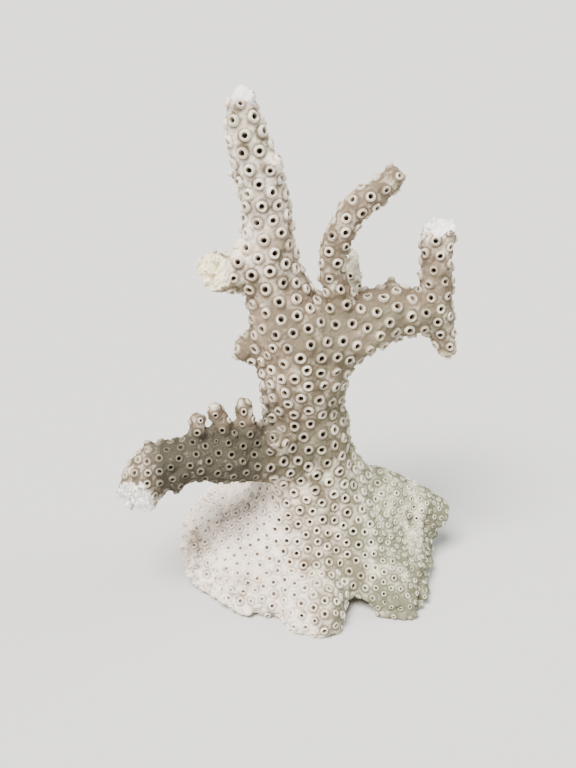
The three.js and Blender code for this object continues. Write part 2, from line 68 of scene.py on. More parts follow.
# =============================================================== the coral's surface, in millimetres
# Branch paths: rows of x, y, z, radius, and the width of the fillet where each joins the ones before.
GROWTH = {
    "stem": (4.0, [[-2.1, 3.0, 26.3, 14.6], [-2.6, 2.5, 41.0, 13.7], [-3.6, 2.0, 49.9, 12.9], [-4.6, 1.0, 58.8, 12.0], [-4.3, 0.0, 66.6, 12.6], [-4.7, 0.0, 74.0, 13.6], [-6.2, 0.0, 80.3, 13.2], [-8.9, 0.0, 85.7, 11.1], [-11.1, 0.0, 91.2, 9.3], [-12.7, 0.0, 96.0, 8.3], [-13.9, 0.5, 101.9, 7.6], [-14.4, 0.5, 108.9, 6.9], [-14.7, 0.0, 115.4, 6.7], [-15.7, -0.5, 121.1, 6.4], [-16.7, -1.0, 126.8, 6.2], [-18.3, -1.5, 132.9, 5.8], [-19.9, -2.0, 138.3, 5.0], [-20.5, -2.0, 143.0, 4.3], [-20.8, -2.0, 146.7, 3.3], [-20.9, -2.0, 149.2, 2.0]]),
    "right_arm": (5.0, [[0.0, 0.0, 78.1, 10.6], [7.9, 0.5, 81.4, 9.7], [14.7, 1.5, 84.5, 8.5], [20.6, 2.5, 86.1, 7.5], [25.6, 3.0, 86.4, 6.8], [30.1, 3.5, 86.2, 5.9], [33.7, 4.0, 86.1, 4.7]]),
    "curved_branch": (2.2, [[7.9, -1.0, 81.0, 5.8], [7.3, -2.5, 89.0, 4.9], [5.6, -3.5, 94.8, 3.75], [3.7, -4.0, 101.2, 3.4], [4.2, -4.0, 107.6, 3.55], [6.4, -4.0, 113.0, 3.8], [9.1, -3.5, 117.7, 3.9], [12.3, -3.0, 121.3, 3.7], [16.4, -2.0, 124.1, 3.4], [20.0, -1.0, 126.6, 2.9]]),
    "back_stub": (2.5, [[9.8, 8.0, 82.7, 3.6], [10.3, 10.0, 89.3, 3.1], [10.2, 11.0, 95.2, 2.75], [10.1, 11.5, 100.3, 2.45]]),
    "arm_nub": (2.2, [[21.5, 4.6, 90.8, 2.6], [21.5, 5.6, 92.9, 1.75]]),
    "right_upright": (4.0, [[38.4, 2.0, 75.1, 2.5], [36.7, 3.0, 79.5, 3.2], [35.3, 3.6, 84.3, 4.0], [34.8, 4.0, 89.8, 4.3], [34.3, 4.0, 95.9, 4.4], [33.9, 4.0, 101.4, 4.5], [33.9, 4.0, 106.4, 4.4], [34.5, 4.5, 111.3, 4.4], [34.6, 4.5, 115.1, 4.3]]),
    "leader_side_stub": (5.0, [[-13.9, 0.0, 102.0, 6.3], [-19.0, -1.5, 101.7, 5.7], [-24.6, -3.0, 100.9, 5.4], [-30.2, -4.5, 100.8, 5.5], [-34.6, -5.5, 100.8, 5.5]]),
    "lower_left_branch": (5.5, [[-8.2, -3.0, 44.5, 8.6], [-14.2, -6.5, 44.0, 7.9], [-20.8, -9.5, 44.9, 7.2], [-28.4, -12.0, 45.9, 6.7], [-35.9, -14.0, 46.3, 6.6], [-42.8, -16.0, 46.1, 6.7], [-47.6, -17.5, 44.7, 6.9], [-51.4, -18.5, 41.1, 6.6], [-53.2, -19.0, 37.0, 5.9]]),
    "trunk_knob_left": (3.0, [[-16.0, 0.0, 75.0, 4.6], [-19.6, -1.2, 75.9, 4.0], [-20.8, -1.8, 76.2, 3.6]]),
    "trunk_knob_front": (2.0, [[-10.3, -9.0, 50.4, 3.8], [-12.5, -13.0, 52.6, 3.0]]),
    "branchlet_outer": (3.0, [[-35.5, -14.0, 50.6, 2.8], [-35.1, -14.0, 55.5, 2.5], [-35.0, -14.0, 59.1, 2.2]]),
    "branchlet_middle": (3.0, [[-26.5, -12.0, 51.2, 2.9], [-28.1, -12.0, 56.8, 2.6], [-29.8, -12.0, 61.7, 2.3]]),
    "branchlet_inner": (3.0, [[-20.4, -10.0, 50.9, 3.0], [-21.1, -10.0, 56.8, 2.6], [-21.6, -10.0, 61.7, 2.3]]),
    "branchlet_web": (1.5, [[-32.0, -13.0, 51.0, 2.6], [-31.9, -13.0, 54.8, 1.9]]),
    "leader_nub_right": (1.5, [[-13.7, -4.0, 129.6, 2.4], [-12.1, -4.7, 131.3, 2.25]]),
    "leader_nub_left": (1.2, [[-22.0, 0.0, 127.2, 1.8], [-23.2, 0.0, 127.5, 1.55]]),
    "leader_nub_low": (1.5, [[-7.1, 0.0, 97.5, 2.0], [-5.7, 0.0, 99.1, 1.6]]),
    "branch_nub_top": (1.2, [[-48.7, -14.0, 49.4, 2.3], [-49.5, -14.0, 51.2, 1.5]]),
    "branch_nub_low": (1.5, [[-41.3, -20.0, 43.6, 2.4], [-41.2, -20.0, 41.0, 1.7]]),
    "base_lobe_left": (5.0, [[-3.5, -24.0, 5.0, 6.0], [-4.6, -31.8, 3.6, 4.1]]),
    "base_lobe_right": (5.0, [[1.8, -24.0, 5.5, 6.0], [2.6, -32.6, 4.2, 3.9]]),
    "base_nub_right": (9.0, [[25.0, 8.0, 21.9, 6.5], [34.3, 8.5, 18.6, 4.6], [41.1, 9.0, 14.6, 3.1]]),
}
# The foot by compass angle: rim radius, shoulder height, hollow of the slope, lift of the rim.
FOOT = np.array([
    (0, 38.5, 15.5, 1.15, 2.5), (14, 40.5, 17.5, 1.05, 4.5), (28, 41.5, 18, 1.05, 3), (45, 41, 17.5, 1.2, 1),
    (65, 39, 15.5, 1.5, 1.5), (90, 38, 15, 1.7, 1), (115, 40, 17, 1.7, 2), (132, 44, 20.5, 1.6, 3),
    (148, 46, 21, 1.7, 4), (165, 44.5, 19, 1.9, 3.5), (182, 42.8, 16.5, 2.1, 3), (200, 42.8, 14, 2.2, 3.5),
    (214, 40.5, 12.5, 2.2, 3.5), (228, 39.5, 11.5, 2.2, 3), (240, 37, 11, 2.2, 2.5), (249, 32.5, 11, 2.1, 2),
    (260, 37.3, 10.5, 2, 0.5), (270, 38.8, 10.5, 2, 0), (279, 37.3, 10.5, 2, 0), (288, 29, 11.5, 2, 1),
    (298, 29, 12.5, 1.9, 1.5), (307, 38, 12.5, 1.7, 0.5), (315, 42.6, 12.5, 1.6, 0), (325, 40.4, 13, 1.5, 0.5),
    (343, 37, 14.5, 1.3, 0.5)], float)
FOOT_CX, FOOT_CY = -1.0, 2.0
SLOPE_TOP_R, SLOPE_TOP_Z = 11.0, 40.0
RECESS = np.array([(11.5, -42, -0.5, 6.2), (13.0, -26, -0.5, 5.4), (13.0, -15, -1.0, 3.5)])
# Breaks: a point on the broken face, its outward direction, roughness.
BREAKS = {
    "right_upright": ([34.0, 4.5, 111.6], [0.05, -0.17, 0.98], 0.70),
    "leader_side_stub": ([-30.2, -4.8, 100.9], [-0.74, -0.66, 0.12], 0.75),
    "lower_left_branch": ([-53.0, -22.0, 38.8], [-0.40, -0.80, -0.45], 0.80),
}
# Where the skeleton is parted, as in the solids.
FOOT_TOP_Z, FOOT_SIDE_Z, FOOT_SIDE_X, FORK_Z, NOTCH_X, STUB_Y, ARM_X, UPRIGHT_X = 36, 29, -30, 94.8, -1.2, 4, 14, 28.5
LOWER_STUB_Z, SIDE_STUB_X, SIDE_STUB_TOP_Z, LOW_BRANCH_X, LOW_BRANCH_TOP_Z, BRANCHLET_Z = 80, -23, 113, -17.5, 63, 53.8
BRANCHLET_X = (-31.2, -24.3)
NODES = ["base", "trunk", "leader", "leader_side_stub", "curved_branch", "back_stub", "right_arm", "right_upright",
         "right_lower_stub", "lower_left_branch", "branchlet_outer", "branchlet_middle", "branchlet_inner"]
SEED = 41


def catmull(c, step=2.0):
    c = np.asarray(c, float)
    out = []
    p = np.vstack([2 * c[0] - c[1], c, 2 * c[-1] - c[-2]])
    for i in range(1, len(p) - 2):
        n = max(2, int(np.ceil(np.linalg.norm(p[i + 1, :3] - p[i, :3]) / step)))
        t = np.linspace(0, 1, n, endpoint=False)[:, None]
        a, b, cc, d = p[i - 1], p[i], p[i + 1], p[i + 2]
        out.append(0.5 * ((2 * b) + (-a + cc) * t + (2 * a - 5 * b + 4 * cc - d) * t ** 2 + (-a + 3 * b - 3 * cc + d) * t ** 3))
    out.append(p[-2][None])
    return np.vstack(out)


LIMBS = {k: catmull(v[1]) for k, v in GROWTH.items()}
BLEND = {k: v[0] for k, v in GROWTH.items()}
LIMB_BOX = {k: (S[:, :3].min(0) - S[:, 3].max() - BLEND[k] - 1, S[:, :3].max(0) + S[:, 3].max() + BLEND[k] + 1) for k, S in LIMBS.items()}


def smin(a, b, k):
    h = np.maximum(k - np.abs(a - b), 0) / k
    return np.minimum(a, b) - h * h * k * 0.25


def smax(a, b, k):
    return -smin(-a, -b, k)


def waves(n, length, seed, stretch=(1, 1, 1)):
    r = np.random.default_rng(seed)
    d = r.normal(size=(n, 3))
    d /= np.linalg.norm(d, axis=1)[:, None]
    k = d * (2 * np.pi / (length * r.uniform(0.65, 1.5, (n, 1)))) * np.array(stretch)
    return k, r.uniform(0, 2 * np.pi, n)


def ripple(P, w):
    """Smooth noise of about unit size from a few crossed waves."""
    return np.sin(P @ w[0].T + w[1]).sum(1) * math.sqrt(2.0 / len(w[1]))


W_SWELL = waves(12, 11.0, 3)
W_LUMP = waves(14, 5.0, 5)
W_RIM = waves(14, 3.0, 9)
W_BREAK = waves(16, 3.2, 12)
W_CRUMB = waves(16, 1.5, 13)
W_GRAIN = waves(18, 1.1, 17)
W_TONE = waves(12, 16.0, 21)
W_BLOTCH = waves(14, 6.0, 23)


def chain(P, S):
    best = np.full(len(P), 1e9)
    for a, b in zip(S[:-1], S[1:]):
        ab = b[:3] - a[:3]
        ap = P - a[:3]
        t = np.clip((ap @ ab) / (ab @ ab), 0, 1)
        d = ap - t[:, None] * ab
        np.minimum(best, np.sqrt(np.einsum("ij,ij->i", d, d)) - (a[3] + t * (b[3] - a[3])), out=best)
    return best


def foot_tables():
    az = np.arange(0, 360.0)
    x = FOOT[:, 0]
    xx = np.concatenate([x - 360, x, x + 360])
    cols = []
    for c in (1, 2, 3, 4):
        yy = np.tile(FOOT[:, c], 3)
        i = np.searchsorted(xx, az, side="right") - 1
        x0, x1, x2, x3 = xx[i - 1], xx[i], xx[i + 1], xx[i + 2]
        y0, y1, y2, y3 = yy[i - 1], yy[i], yy[i + 1], yy[i + 2]
        t = (az - x1) / (x2 - x1)
        m1, m2 = (y2 - y0) / (x2 - x0) * (x2 - x1), (y3 - y1) / (x3 - x1) * (x2 - x1)
        cols.append((2 * t ** 3 - 3 * t ** 2 + 1) * y1 + (t ** 3 - 2 * t ** 2 + t) * m1 + (-2 * t ** 3 + 3 * t ** 2) * y2 + (t ** 3 - t ** 2) * m2)

    def soft(v, w):
        k = np.exp(-0.5 * (np.arange(-90, 91) / w) ** 2)
        k /= k.sum()
        return np.convolve(np.concatenate([v[-90:], v, v[:90]]), k, "valid")
    t = np.column_stack([cols[0], soft(cols[1], 8.0), soft(cols[2], 10.0), cols[3], soft(cols[0], 14.0)])
    return np.vstack([t, t[:1]])


FOOT_TAB = foot_tables()


def slope_height(r, rim, shoulder, hollow):
    w = rim - 8.0 - SLOPE_TOP_R
    u = np.clip((r - SLOPE_TOP_R) / w, 0, None)
    inner = shoulder + (SLOPE_TOP_Z - shoulder) * np.clip(1 - u, 0, 1) ** hollow
    fall = np.clip((SLOPE_TOP_Z - shoulder) / w * 0.5, 0.15, 0.6)
    outer = (shoulder + (SLOPE_TOP_Z - shoulder) * 0.2 ** hollow) - fall * (u - 0.8) * w
    return np.where(u < 0.8, inner, np.minimum(inner, outer))


def foot(P):
    x, y, z = P[:, 0], P[:, 1], P[:, 2]
    a = np.mod(np.degrees(np.arctan2(y, x)), 360.0)
    i = np.clip(a.astype(int), 0, 359)
    t = (a - i)[:, None]
    rim, shoulder, hollow, lift, soft = (FOOT_TAB[i] * (1 - t) + FOOT_TAB[i + 1] * t).T
    r = np.hypot(x, y)
    c = np.clip(1 - (r - 10) / 25, 0, 1)
    rt = np.hypot(x - FOOT_CX * c, y - FOOT_CY * c)
    h = slope_height(rt, soft, shoulder, hollow)
    dh = slope_height(rt + 0.5, soft, shoulder, hollow) - slope_height(rt - 0.5, soft, shoulder, hollow)
    f = smax((z - h) / np.sqrt(1 + np.minimum(dh * dh, 9)), (r - rim) * 0.97, 12.0)
    # a knobbly growing edge, fading out up the slope
    left = np.clip((-x - 12) / 16.0, 0, 1)
    edge = np.clip(1 - (z - 5.0 - 4.0 * left) / 6.0, 0, 1) * np.clip((r - 22) / 8.0, 0, 1)
    f = f + edge * ((0.32 + 0.20 * left) * ripple(P, W_LUMP) + (0.42 + 0.16 * left) * ripple(P, W_RIM))
    s = np.clip((r - (rim - 13)) / 13, 0, 1.3)
    f = smax(f, (lift + 1.2) * s * s - 1.2 - z, 3.0)
    return smax(f, -chain(P, RECESS), 2.0)


def break_depth(P, name):
    """How far P lies beyond a break's rough face, and a mask of where that break can act."""
    at, out, rough = BREAKS[name]
    out = np.array(out) / np.linalg.norm(out)
    rel = P - np.array(at)
    along = rel @ out
    side = np.sqrt(np.maximum(np.einsum("ij,ij->i", rel, rel) - along ** 2, 0))
    near = (side < 11) & (along > -7) & (along < 26)
    return along, near, rough


def break_tables():
    """Each broken face is a few facets, each with its own height and tilt."""
    out = {}
    for i, (k, (at, normal, rough)) in enumerate(BREAKS.items()):
        r = np.random.default_rng(60 + i)
        n = np.array(normal) / np.linalg.norm(normal)
        u = np.cross([0.0, 1.0, 0.2], n)
        u /= np.linalg.norm(u)
        v = np.cross(n, u)
        seeds = r.uniform(-7, 7, (26, 2))
        out[k] = (u, v, seeds, r.uniform(-1, 1, 26), r.normal(size=(26, 2)) * 0.26)
    return out


FACETS = break_tables()


def break_face(P, k):
    """Distance beyond the rough face of break k."""
    at, normal, rough = BREAKS[k]
    n = np.array(normal) / np.linalg.norm(normal)
    u, v, seeds, lift, tilt = FACETS[k]
    rel = P - np.array(at)
    q = np.stack([rel @ u, rel @ v], 1) + 0.35 * np.stack([ripple(P, W_BREAK), ripple(P + 7.0, W_BREAK)], 1)
    d = ((q[:, None] - seeds[None]) ** 2).sum(2)
    j = d.argmin(1)
    w = q - seeds[j]
    facet = lift[j] + (w * tilt[j]).sum(1) / max(rough, 0.1)
    return rel @ n + rough * (0.85 * facet + 0.40 * ripple(P, W_BREAK) + 0.34 * ripple(P, W_CRUMB))


def field(P):
    f = np.full(len(P), 30.0)
    i = np.flatnonzero(P[:, 2] < 60)
    if len(i):
        f[i] = foot(P[i])
    for k, S in LIMBS.items():
        lo, hi = LIMB_BOX[k]
        i = np.flatnonzero(((P > lo) & (P < hi)).all(1))
        if len(i):
            f[i] = smin(f[i], chain(P[i], S), BLEND[k])
    near = np.flatnonzero(np.abs(f) < 6)
    if len(near):
        Q = P[near]
        f[near] += 0.24 * ripple(Q, W_SWELL) + 0.10 * ripple(Q, W_LUMP)
    for k in BREAKS:
        along, m, rough = break_depth(P, k)
        i = np.flatnonzero(m)
        if len(i):
            f[i] = smax(f[i], break_face(P[i], k), 0.30)
    return smax(f, -P[:, 2], 0.5)


def project(P, rounds=2):
    """Moves points onto the surface. Returns them with the outward normal."""
    e = 0.06
    for _ in range(rounds):
        f = field(P)
        g = np.stack([field(P + e * np.eye(3)[k]) - f for k in range(3)], 1) / e
        gg = np.maximum(np.einsum("ij,ij->i", g, g), 0.05)
        P = P - np.clip(f / gg, -0.6, 0.6)[:, None] * g
    n = g / np.linalg.norm(g, axis=1)[:, None]
    return P, n


# =============================================================== base mesh
H = 0.46


def band_field(lo, hi, h, coarse=4):
    n = np.ceil((hi - lo) / h / coarse).astype(int) * coarse + 1
    ax = [lo[i] + h * np.arange(n[i]) for i in range(3)]
    nc = (n - 1) // coarse
    cc = [lo[i] + h * coarse * (np.arange(nc[i]) + 0.5) for i in range(3)]
    C = np.stack(np.meshgrid(*cc, indexing="ij"), -1).reshape(-1, 3)
    fc = field(C).reshape(nc)
    reach = h * coarse * 0.87 + 0.9
    F = np.repeat(np.repeat(np.repeat(np.where(fc < 0, -3.0, 3.0).astype(np.float32), coarse, 0), coarse, 1), coarse, 2)
    F = np.pad(F, ((0, 1), (0, 1), (0, 1)), mode="edge")
    near = np.argwhere(np.abs(fc) < reach)
    o = np.stack(np.meshgrid(*[np.arange(coarse + 1)] * 3, indexing="ij"), -1).reshape(-1, 3)
    mark = np.zeros(F.shape, bool)
    for d in o:
        q = near * coarse + d
        mark[q[:, 0], q[:, 1], q[:, 2]] = True
    idx = np.argwhere(mark)
    F[mark] = field(idx * h + lo)
    return F, ax


def surface_nets(F, ax, h):
    neg = F < 0
    n = F.shape
    cnt = np.zeros(tuple(k - 1 for k in n), np.int8)
    for a in (0, 1):
        for b in (0, 1):
            for c in (0, 1):
                cnt += neg[a:n[0] - 1 + a, b:n[1] - 1 + b, c:n[2] - 1 + c]
    act = (cnt > 0) & (cnt < 8)
    idx = np.full(act.shape, -1, np.int32)
    cells = np.argwhere(act)
    idx[act] = np.arange(len(cells))
    acc = np.zeros((len(cells), 3))
    num = np.zeros(len(cells))
    for a in [(i, j, k) for i in (0, 1) for j in (0, 1) for k in (0, 1)]:
        for d in range(3):
            if a[d]:
                continue
            b = list(a)
            b[d] = 1
            fa = F[cells[:, 0] + a[0], cells[:, 1] + a[1], cells[:, 2] + a[2]].astype(float)
            fb = F[cells[:, 0] + b[0], cells[:, 1] + b[1], cells[:, 2] + b[2]].astype(float)
            m = (fa < 0) != (fb < 0)
            t = np.zeros(len(cells))
            t[m] = fa[m] / (fa[m] - fb[m])
            p = np.array(a, float)[None] + t[:, None] * (np.array(b) - np.array(a))
            acc[m] += p[m]
            num[m] += 1
    V = (cells + acc / num[:, None]) * h + np.array([a[0] for a in ax])
    quads = []
    for d in range(3):
        e1, e2 = [k for k in range(3) if k != d]
        s0 = [slice(1, n[k] - 1) for k in range(3)]
        s1 = list(s0)
        s0[d] = slice(0, n[d] - 1)
        s1[d] = slice(1, n[d])
        a, b = neg[tuple(s0)], neg[tuple(s1)]
        for inside_first in (True, False):
            g = np.argwhere((a & ~b) if inside_first else (~a & b))
            g = g + np.array([0 if k == d else 1 for k in range(3)])

            def cell(o1, o2):
                q = g.copy()
                q[:, e1] -= o1
                q[:, e2] -= o2
                return idx[q[:, 0], q[:, 1], q[:, 2]]
            q = np.stack([cell(0, 0), cell(1, 0), cell(1, 1), cell(0, 1)], 1)
            quads.append(q[:, ::-1] if (d == 1) == inside_first else q)
    return V, np.vstack(quads).astype(np.int64)


def edge_table(T):
    e = np.sort(np.vstack([T[:, [0, 1]], T[:, [1, 2]], T[:, [2, 0]]]), 1)
    key = (e[:, 0].astype(np.int64) << 32) | e[:, 1].astype(np.int64)
    u, inv = np.unique(key, return_inverse=True)
    return np.stack([u >> 32, u & 0xFFFFFFFF], 1), inv.reshape(3, -1).T


def split(V, T, E, te, mark):
    """Halves the marked edges and keeps the mesh closed."""
    mid = np.full(len(E), -1, np.int64)
    mid[mark] = len(V) + np.arange(mark.sum())
    V2 = np.vstack([V, V[E[mark]].mean(1)])
    m = mark[te]
    out = [T[~m.any(1)]]
    st = lambda *c: np.stack(c, 1)
    for r in range(3):
        a, b, c = T[:, r], T[:, (r + 1) % 3], T[:, (r + 2) % 3]
        s = m[:, r] & ~m[:, (r + 1) % 3] & ~m[:, (r + 2) % 3]
        p = mid[te[s, r]]
        out += [st(a[s], p, c[s]), st(p, b[s], c[s])]
        s = m[:, r] & m[:, (r + 1) % 3] & ~m[:, (r + 2) % 3]
        p, q = mid[te[s, r]], mid[te[s, (r + 1) % 3]]
        out += [st(p, b[s], q), st(a[s], p, q), st(a[s], q, c[s])]
    s = m.all(1)
    a, b, c = T[s].T
    p, q, w = mid[te[s, 0]], mid[te[s, 1]], mid[te[s, 2]]
    out += [st(a, p, w), st(p, b, q), st(w, q, c), st(p, q, w)]
    return V2, np.vstack(out)


def neighbour_mean(V, E):
    n = len(V)
    deg = np.bincount(E[:, 0], minlength=n) + np.bincount(E[:, 1], minlength=n)
    out = np.empty_like(V)
    for k in range(3):
        out[:, k] = np.bincount(E[:, 0], weights=V[E[:, 1], k], minlength=n) + np.bincount(E[:, 1], weights=V[E[:, 0], k], minlength=n)
    return out / np.maximum(deg, 1)[:, None]


def vertex_normals(V, T):
    a, b, c = V[T[:, 0]], V[T[:, 1]], V[T[:, 2]]
    fn = np.cross(b - a, c - a)
    out = np.zeros_like(V)
    ln = np.linalg.norm(fn, axis=1)[:, None] + 1e-12
    u = fn / ln
    for p, q, r, col in ((a, b, c, 0), (b, c, a, 1), (c, a, b, 2)):
        x, y = q - p, r - p
        ang = np.arccos(np.clip(np.einsum("ij,ij->i", x, y) / (np.linalg.norm(x, axis=1) * np.linalg.norm(y, axis=1) + 1e-12), -1, 1))
        for k in range(3):
            out[:, k] += np.bincount(T[:, col], weights=u[:, k] * ang, minlength=len(V))
    return out / (np.linalg.norm(out, axis=1)[:, None] + 1e-12)


F, ax = band_field(np.array([-63.0, -50.0, -2.3]), np.array([50.0, 44.0, 155.0]), H)


def unpinch(F):
    """Samples inside the coral that touch only corner to corner are joined, so that no edge is pinched."""
    joined = 0
    for _ in range(5):
        fixed = 0
        for d1, d2 in ((0, 1), (0, 2), (1, 2)):
            neg = F < 0

            def at(o1, o2):
                return tuple(slice(o1, F.shape[k] - 1 + o1) if k == d1 else slice(o2, F.shape[k] - 1 + o2) if k == d2 else slice(None) for k in range(3))
            a, b, c, d = neg[at(0, 0)], neg[at(1, 0)], neg[at(0, 1)], neg[at(1, 1)]
            p = np.argwhere((a == d) & (b == c) & (a != b))
            for i in p.tolist():
                four = []
                for o1, o2 in ((0, 0), (1, 0), (0, 1), (1, 1)):
                    q = list(i)
                    q[d1] += o1
                    q[d2] += o2
                    four.append(tuple(q))
                out = [q for q in four if F[q] >= 0]
                if len(out) == 2:
                    F[min(out, key=lambda q: F[q])] = -0.02
                    fixed += 1
        joined += fixed
        if not fixed:
            break
    return joined


note("samples joined", unpinch(F))
V, Q = surface_nets(F, ax, H)
del F


def main_sheet(Q):
    """Only the main surface: crumbs that hang free of it and bubbles inside it are dropped."""
    e = np.sort(np.vstack([Q[:, [0, 1]], Q[:, [1, 2]], Q[:, [2, 3]], Q[:, [3, 0]]]), 1)
    key = (e[:, 0] << 32) | e[:, 1]
    o = np.argsort(key, kind="stable")
    _, first, count = np.unique(key[o], return_index=True, return_counts=True)
    two = first[count == 2]
    a, b = o[two] % len(Q), o[two + 1] % len(Q)
    comp = np.arange(len(Q))
    while True:
        low = np.minimum(comp[a], comp[b])
        nxt_c = comp.copy()
        np.minimum.at(nxt_c, a, low)
        np.minimum.at(nxt_c, b, low)
        nxt_c = nxt_c[nxt_c]
        nxt_c = nxt_c[nxt_c]
        if (nxt_c == comp).all():
            break
        comp = nxt_c
    return Q[comp == np.bincount(comp).argmax()]


n_all = len(Q)
Q = main_sheet(Q)
note("crumbs dropped", n_all - len(Q))
used = np.unique(Q)
packed = np.full(len(V), -1, np.int64)
packed[used] = np.arange(len(used))
V, Q = V[used], packed[Q]
note("nets", len(V), len(Q))
d1 = np.linalg.norm(V[Q[:, 0]] - V[Q[:, 2]], axis=1)
d2 = np.linalg.norm(V[Q[:, 1]] - V[Q[:, 3]], axis=1)
s = d1 <= d2
T = np.vstack([Q[s][:, [0, 1, 2]], Q[s][:, [0, 2, 3]], Q[~s][:, [0, 1, 3]], Q[~s][:, [1, 2, 3]]])
E, te = edge_table(T)
V, N = project(V, 2)
for _ in range(3):
    m = neighbour_mean(V, E) - V
    m -= np.einsum("ij,ij->i", m, N)[:, None] * N
    V, N = project(V + 0.55 * m, 1)
note("relaxed")

# finer triangles on the broken faces
for _ in range(1):
    E, te = edge_table(T)
    mid = V[E].mean(1)
    mark = np.zeros(len(E), bool)
    for k in BREAKS:
        along, m, rough = break_depth(mid, k)
        mark |= m & (along > -1.8)
    V, T = split(V, T, E, te, mark)
    V, N = project(V, 1)
E, te = edge_table(T)
note("broken faces refined", len(V), len(T))


# =============================================================== where things are
def region(P):
    x, y, z = P[:, 0], P[:, 1], P[:, 2]
    r = np.full(len(P), -1)
    name = {n: i for i, n in enumerate(NODES)}

    def put(mask, n):
        r[mask & (r < 0)] = name[n]
    put((x >= FOOT_SIDE_X) & (z < FOOT_TOP_Z), "base")
    put((x < FOOT_SIDE_X) & (z < FOOT_SIDE_Z), "base")
    crook = 3.6 * np.exp(-((x - BRANCHLET_X[1]) / 1.5) ** 2) + 5.0 * np.exp(-((x + 17.8) / 1.7) ** 2) + 4.8 * np.exp(-((x + 31.7) / 1.4) ** 2)
    put((x < LOW_BRANCH_X) & (z < BRANCHLET_Z + crook), "lower_left_branch")
    put((x < BRANCHLET_X[0] - 0.16 * (z - 54)) & (z < 70) & (y < -5), "branchlet_outer")
    put((x < BRANCHLET_X[1]) & (z < 70) & (y < -5), "branchlet_middle")
    put((x < LOW_BRANCH_X) & (z < 65) & (y < -5), "branchlet_inner")
    put(((x < ARM_X) | (z < 60)) & (z < FORK_Z - 1.6 * smooth_step(-x, 17, 21)), "trunk")
    put((x < SIDE_STUB_X) & (z < SIDE_STUB_TOP_Z), "leader_side_stub")
    put(x < NOTCH_X, "leader")
    put((x > UPRIGHT_X) & (z > LOWER_STUB_Z), "right_upright")
    put(x > UPRIGHT_X, "right_lower_stub")
    put((x > ARM_X) & (z < 106), "right_arm")
    put(y > STUB_Y, "back_stub")
    put(x > -99, "curved_branch")
    return r


def smooth_step(x, a, b):
    t = np.clip((x - a) / (b - a), 0, 1)
    return t * t * (3 - 2 * t)


def styles(P, n):
    """Spacing, ring radius limit, ring height and wear of the cups at points P."""
    x, y, z = P.T
    reg = region(P)
    space = np.full(len(P), 3.72)
    rad = np.full(len(P), 1.70)
    high = np.full(len(P), 1.06)
    wear = np.zeros(len(P))
    for ids, sp, ra, hi in (((3,), 3.5, 1.50, 0.80), ((4, 7, 8), 3.40, 1.50, 0.86), ((5,), 2.9, 1.15, 0.55), ((10, 11, 12), 3.0, 1.20, 0.52), ((9,), 2.90, 1.22, 0.60)):
        m = np.isin(reg, ids)
        space[m], rad[m], high[m] = sp, ra, hi
    # the foot: medium cups in front of the stem, small dense ones to the right and behind, worn low ones to the left
    rr = np.hypot(x, y)
    right = smooth_step(x + 0.35 * (rr - 20) + 2 * ripple(P, W_TONE), 12, 26)
    left = smooth_step(-x + 0.2 * (rr - 20) + 2 * ripple(P, W_TONE), 6, 22)
    up = smooth_step(z, 20, 40)
    is_base = reg == 0
    bs = 2.90 + 0.75 * up - 0.60 * right - 0.20 * left
    br = 1.27 + 0.33 * up - 0.34 * right - 0.12 * left
    bh = 0.62 + 0.24 * up - 0.17 * right - 0.24 * left
    space[is_base], rad[is_base], high[is_base] = bs[is_base], br[is_base], bh[is_base]
    wear[is_base] = (0.55 * left + 0.20 * right)[is_base]
    blend = smooth_step(z, 34, 52) * (reg == 1)
    t = reg == 1
    space[t] = (3.58 + 0.14 * blend)[t]
    rad[t] = (1.50 + 0.14 * blend)[t]
    high[t] = (0.74 + 0.20 * blend)[t]
    high = high * (1 + 0.10 * ripple(P, W_BLOTCH))
    return space, rad, high, wear


# =============================================================== cups
def bare(P, n):
    """Where no cup can stand: crevices, the resting face, broken faces, the leader's bare tip."""
    out = (np.clip(field(P + 1.2 * n) / 1.2, -1, 1.2) < 0.50) | (P[:, 2] < 1.2)
    out |= (n[:, 2] < -0.45) & (P[:, 2] < 9) & (region(P) == 0)
    out |= (P[:, 0] < -12) & (P[:, 2] > 148.9)
    for k in BREAKS:
        along, m, rough = break_depth(P, k)
        i = np.flatnonzero(m)
        out[i] |= break_face(P[i], k) > -1.75
    return out


# cups that crown a knob or face out from a branchlet
CROWN_LIST = [  # point, outward direction, radius
    ([-11.0, -5.2, 133.3], [0.5, -0.45, 0.7], 1.45), ([-13.4, -8.0, 129.9], [0.15, -0.95, 0.25], 1.40), ([-21.2, -5.4, 147.0], [-0.05, -0.9, 0.35], 1.20), ([-24.8, 0.0, 127.6], [-1, -0.1, 0.2], 1.20), ([-4.7, 0.0, 100.3], [0.7, -0.2, 0.7], 1.20),
    ([-49.9, -14.4, 52.7], [-0.3, -0.2, 0.9], 1.15), ([-23.6, -4.0, 77.4], [-0.75, -0.6, 0.3], 1.45), ([-23.9, -2.2, 73.9], [-0.85, -0.3, -0.45], 1.40), ([-13.3, -15.2, 54.2], [-0.3, -0.8, 0.5], 1.35),
    ([21.5, 6.2, 94.6], [0, 0.3, 0.95], 1.30), ([-35.0, -16.6, 56.4], [0, -1, 0.1], 1.20), ([-29.7, -14.3, 61.0], [-0.1, -1, 0.3], 1.20),
    ([-21.6, -12.3, 61.2], [0, -1, 0.3], 1.20), ([21.3, -3.3, 127.8], [0.45, -0.8, 0.4], 1.25), ([-41.2, -20.3, 39.3], [0, -0.3, -0.95], 1.25), ([38.8, 1.2, 73.0], [0.3, -0.5, -0.8], 1.25), ([10.3, 11.7, 102.7], [0.1, 0.1, 1], 1.15)]
CROWNS, crown_n = project(np.array([c[0] for c in CROWN_LIST]), 5)
crown_r = np.array([c[2] for c in CROWN_LIST])
cand = np.flatnonzero(~bare(V, N))
C = np.vstack([CROWNS, V[cand]])
CN = np.vstack([crown_n, N[cand]])
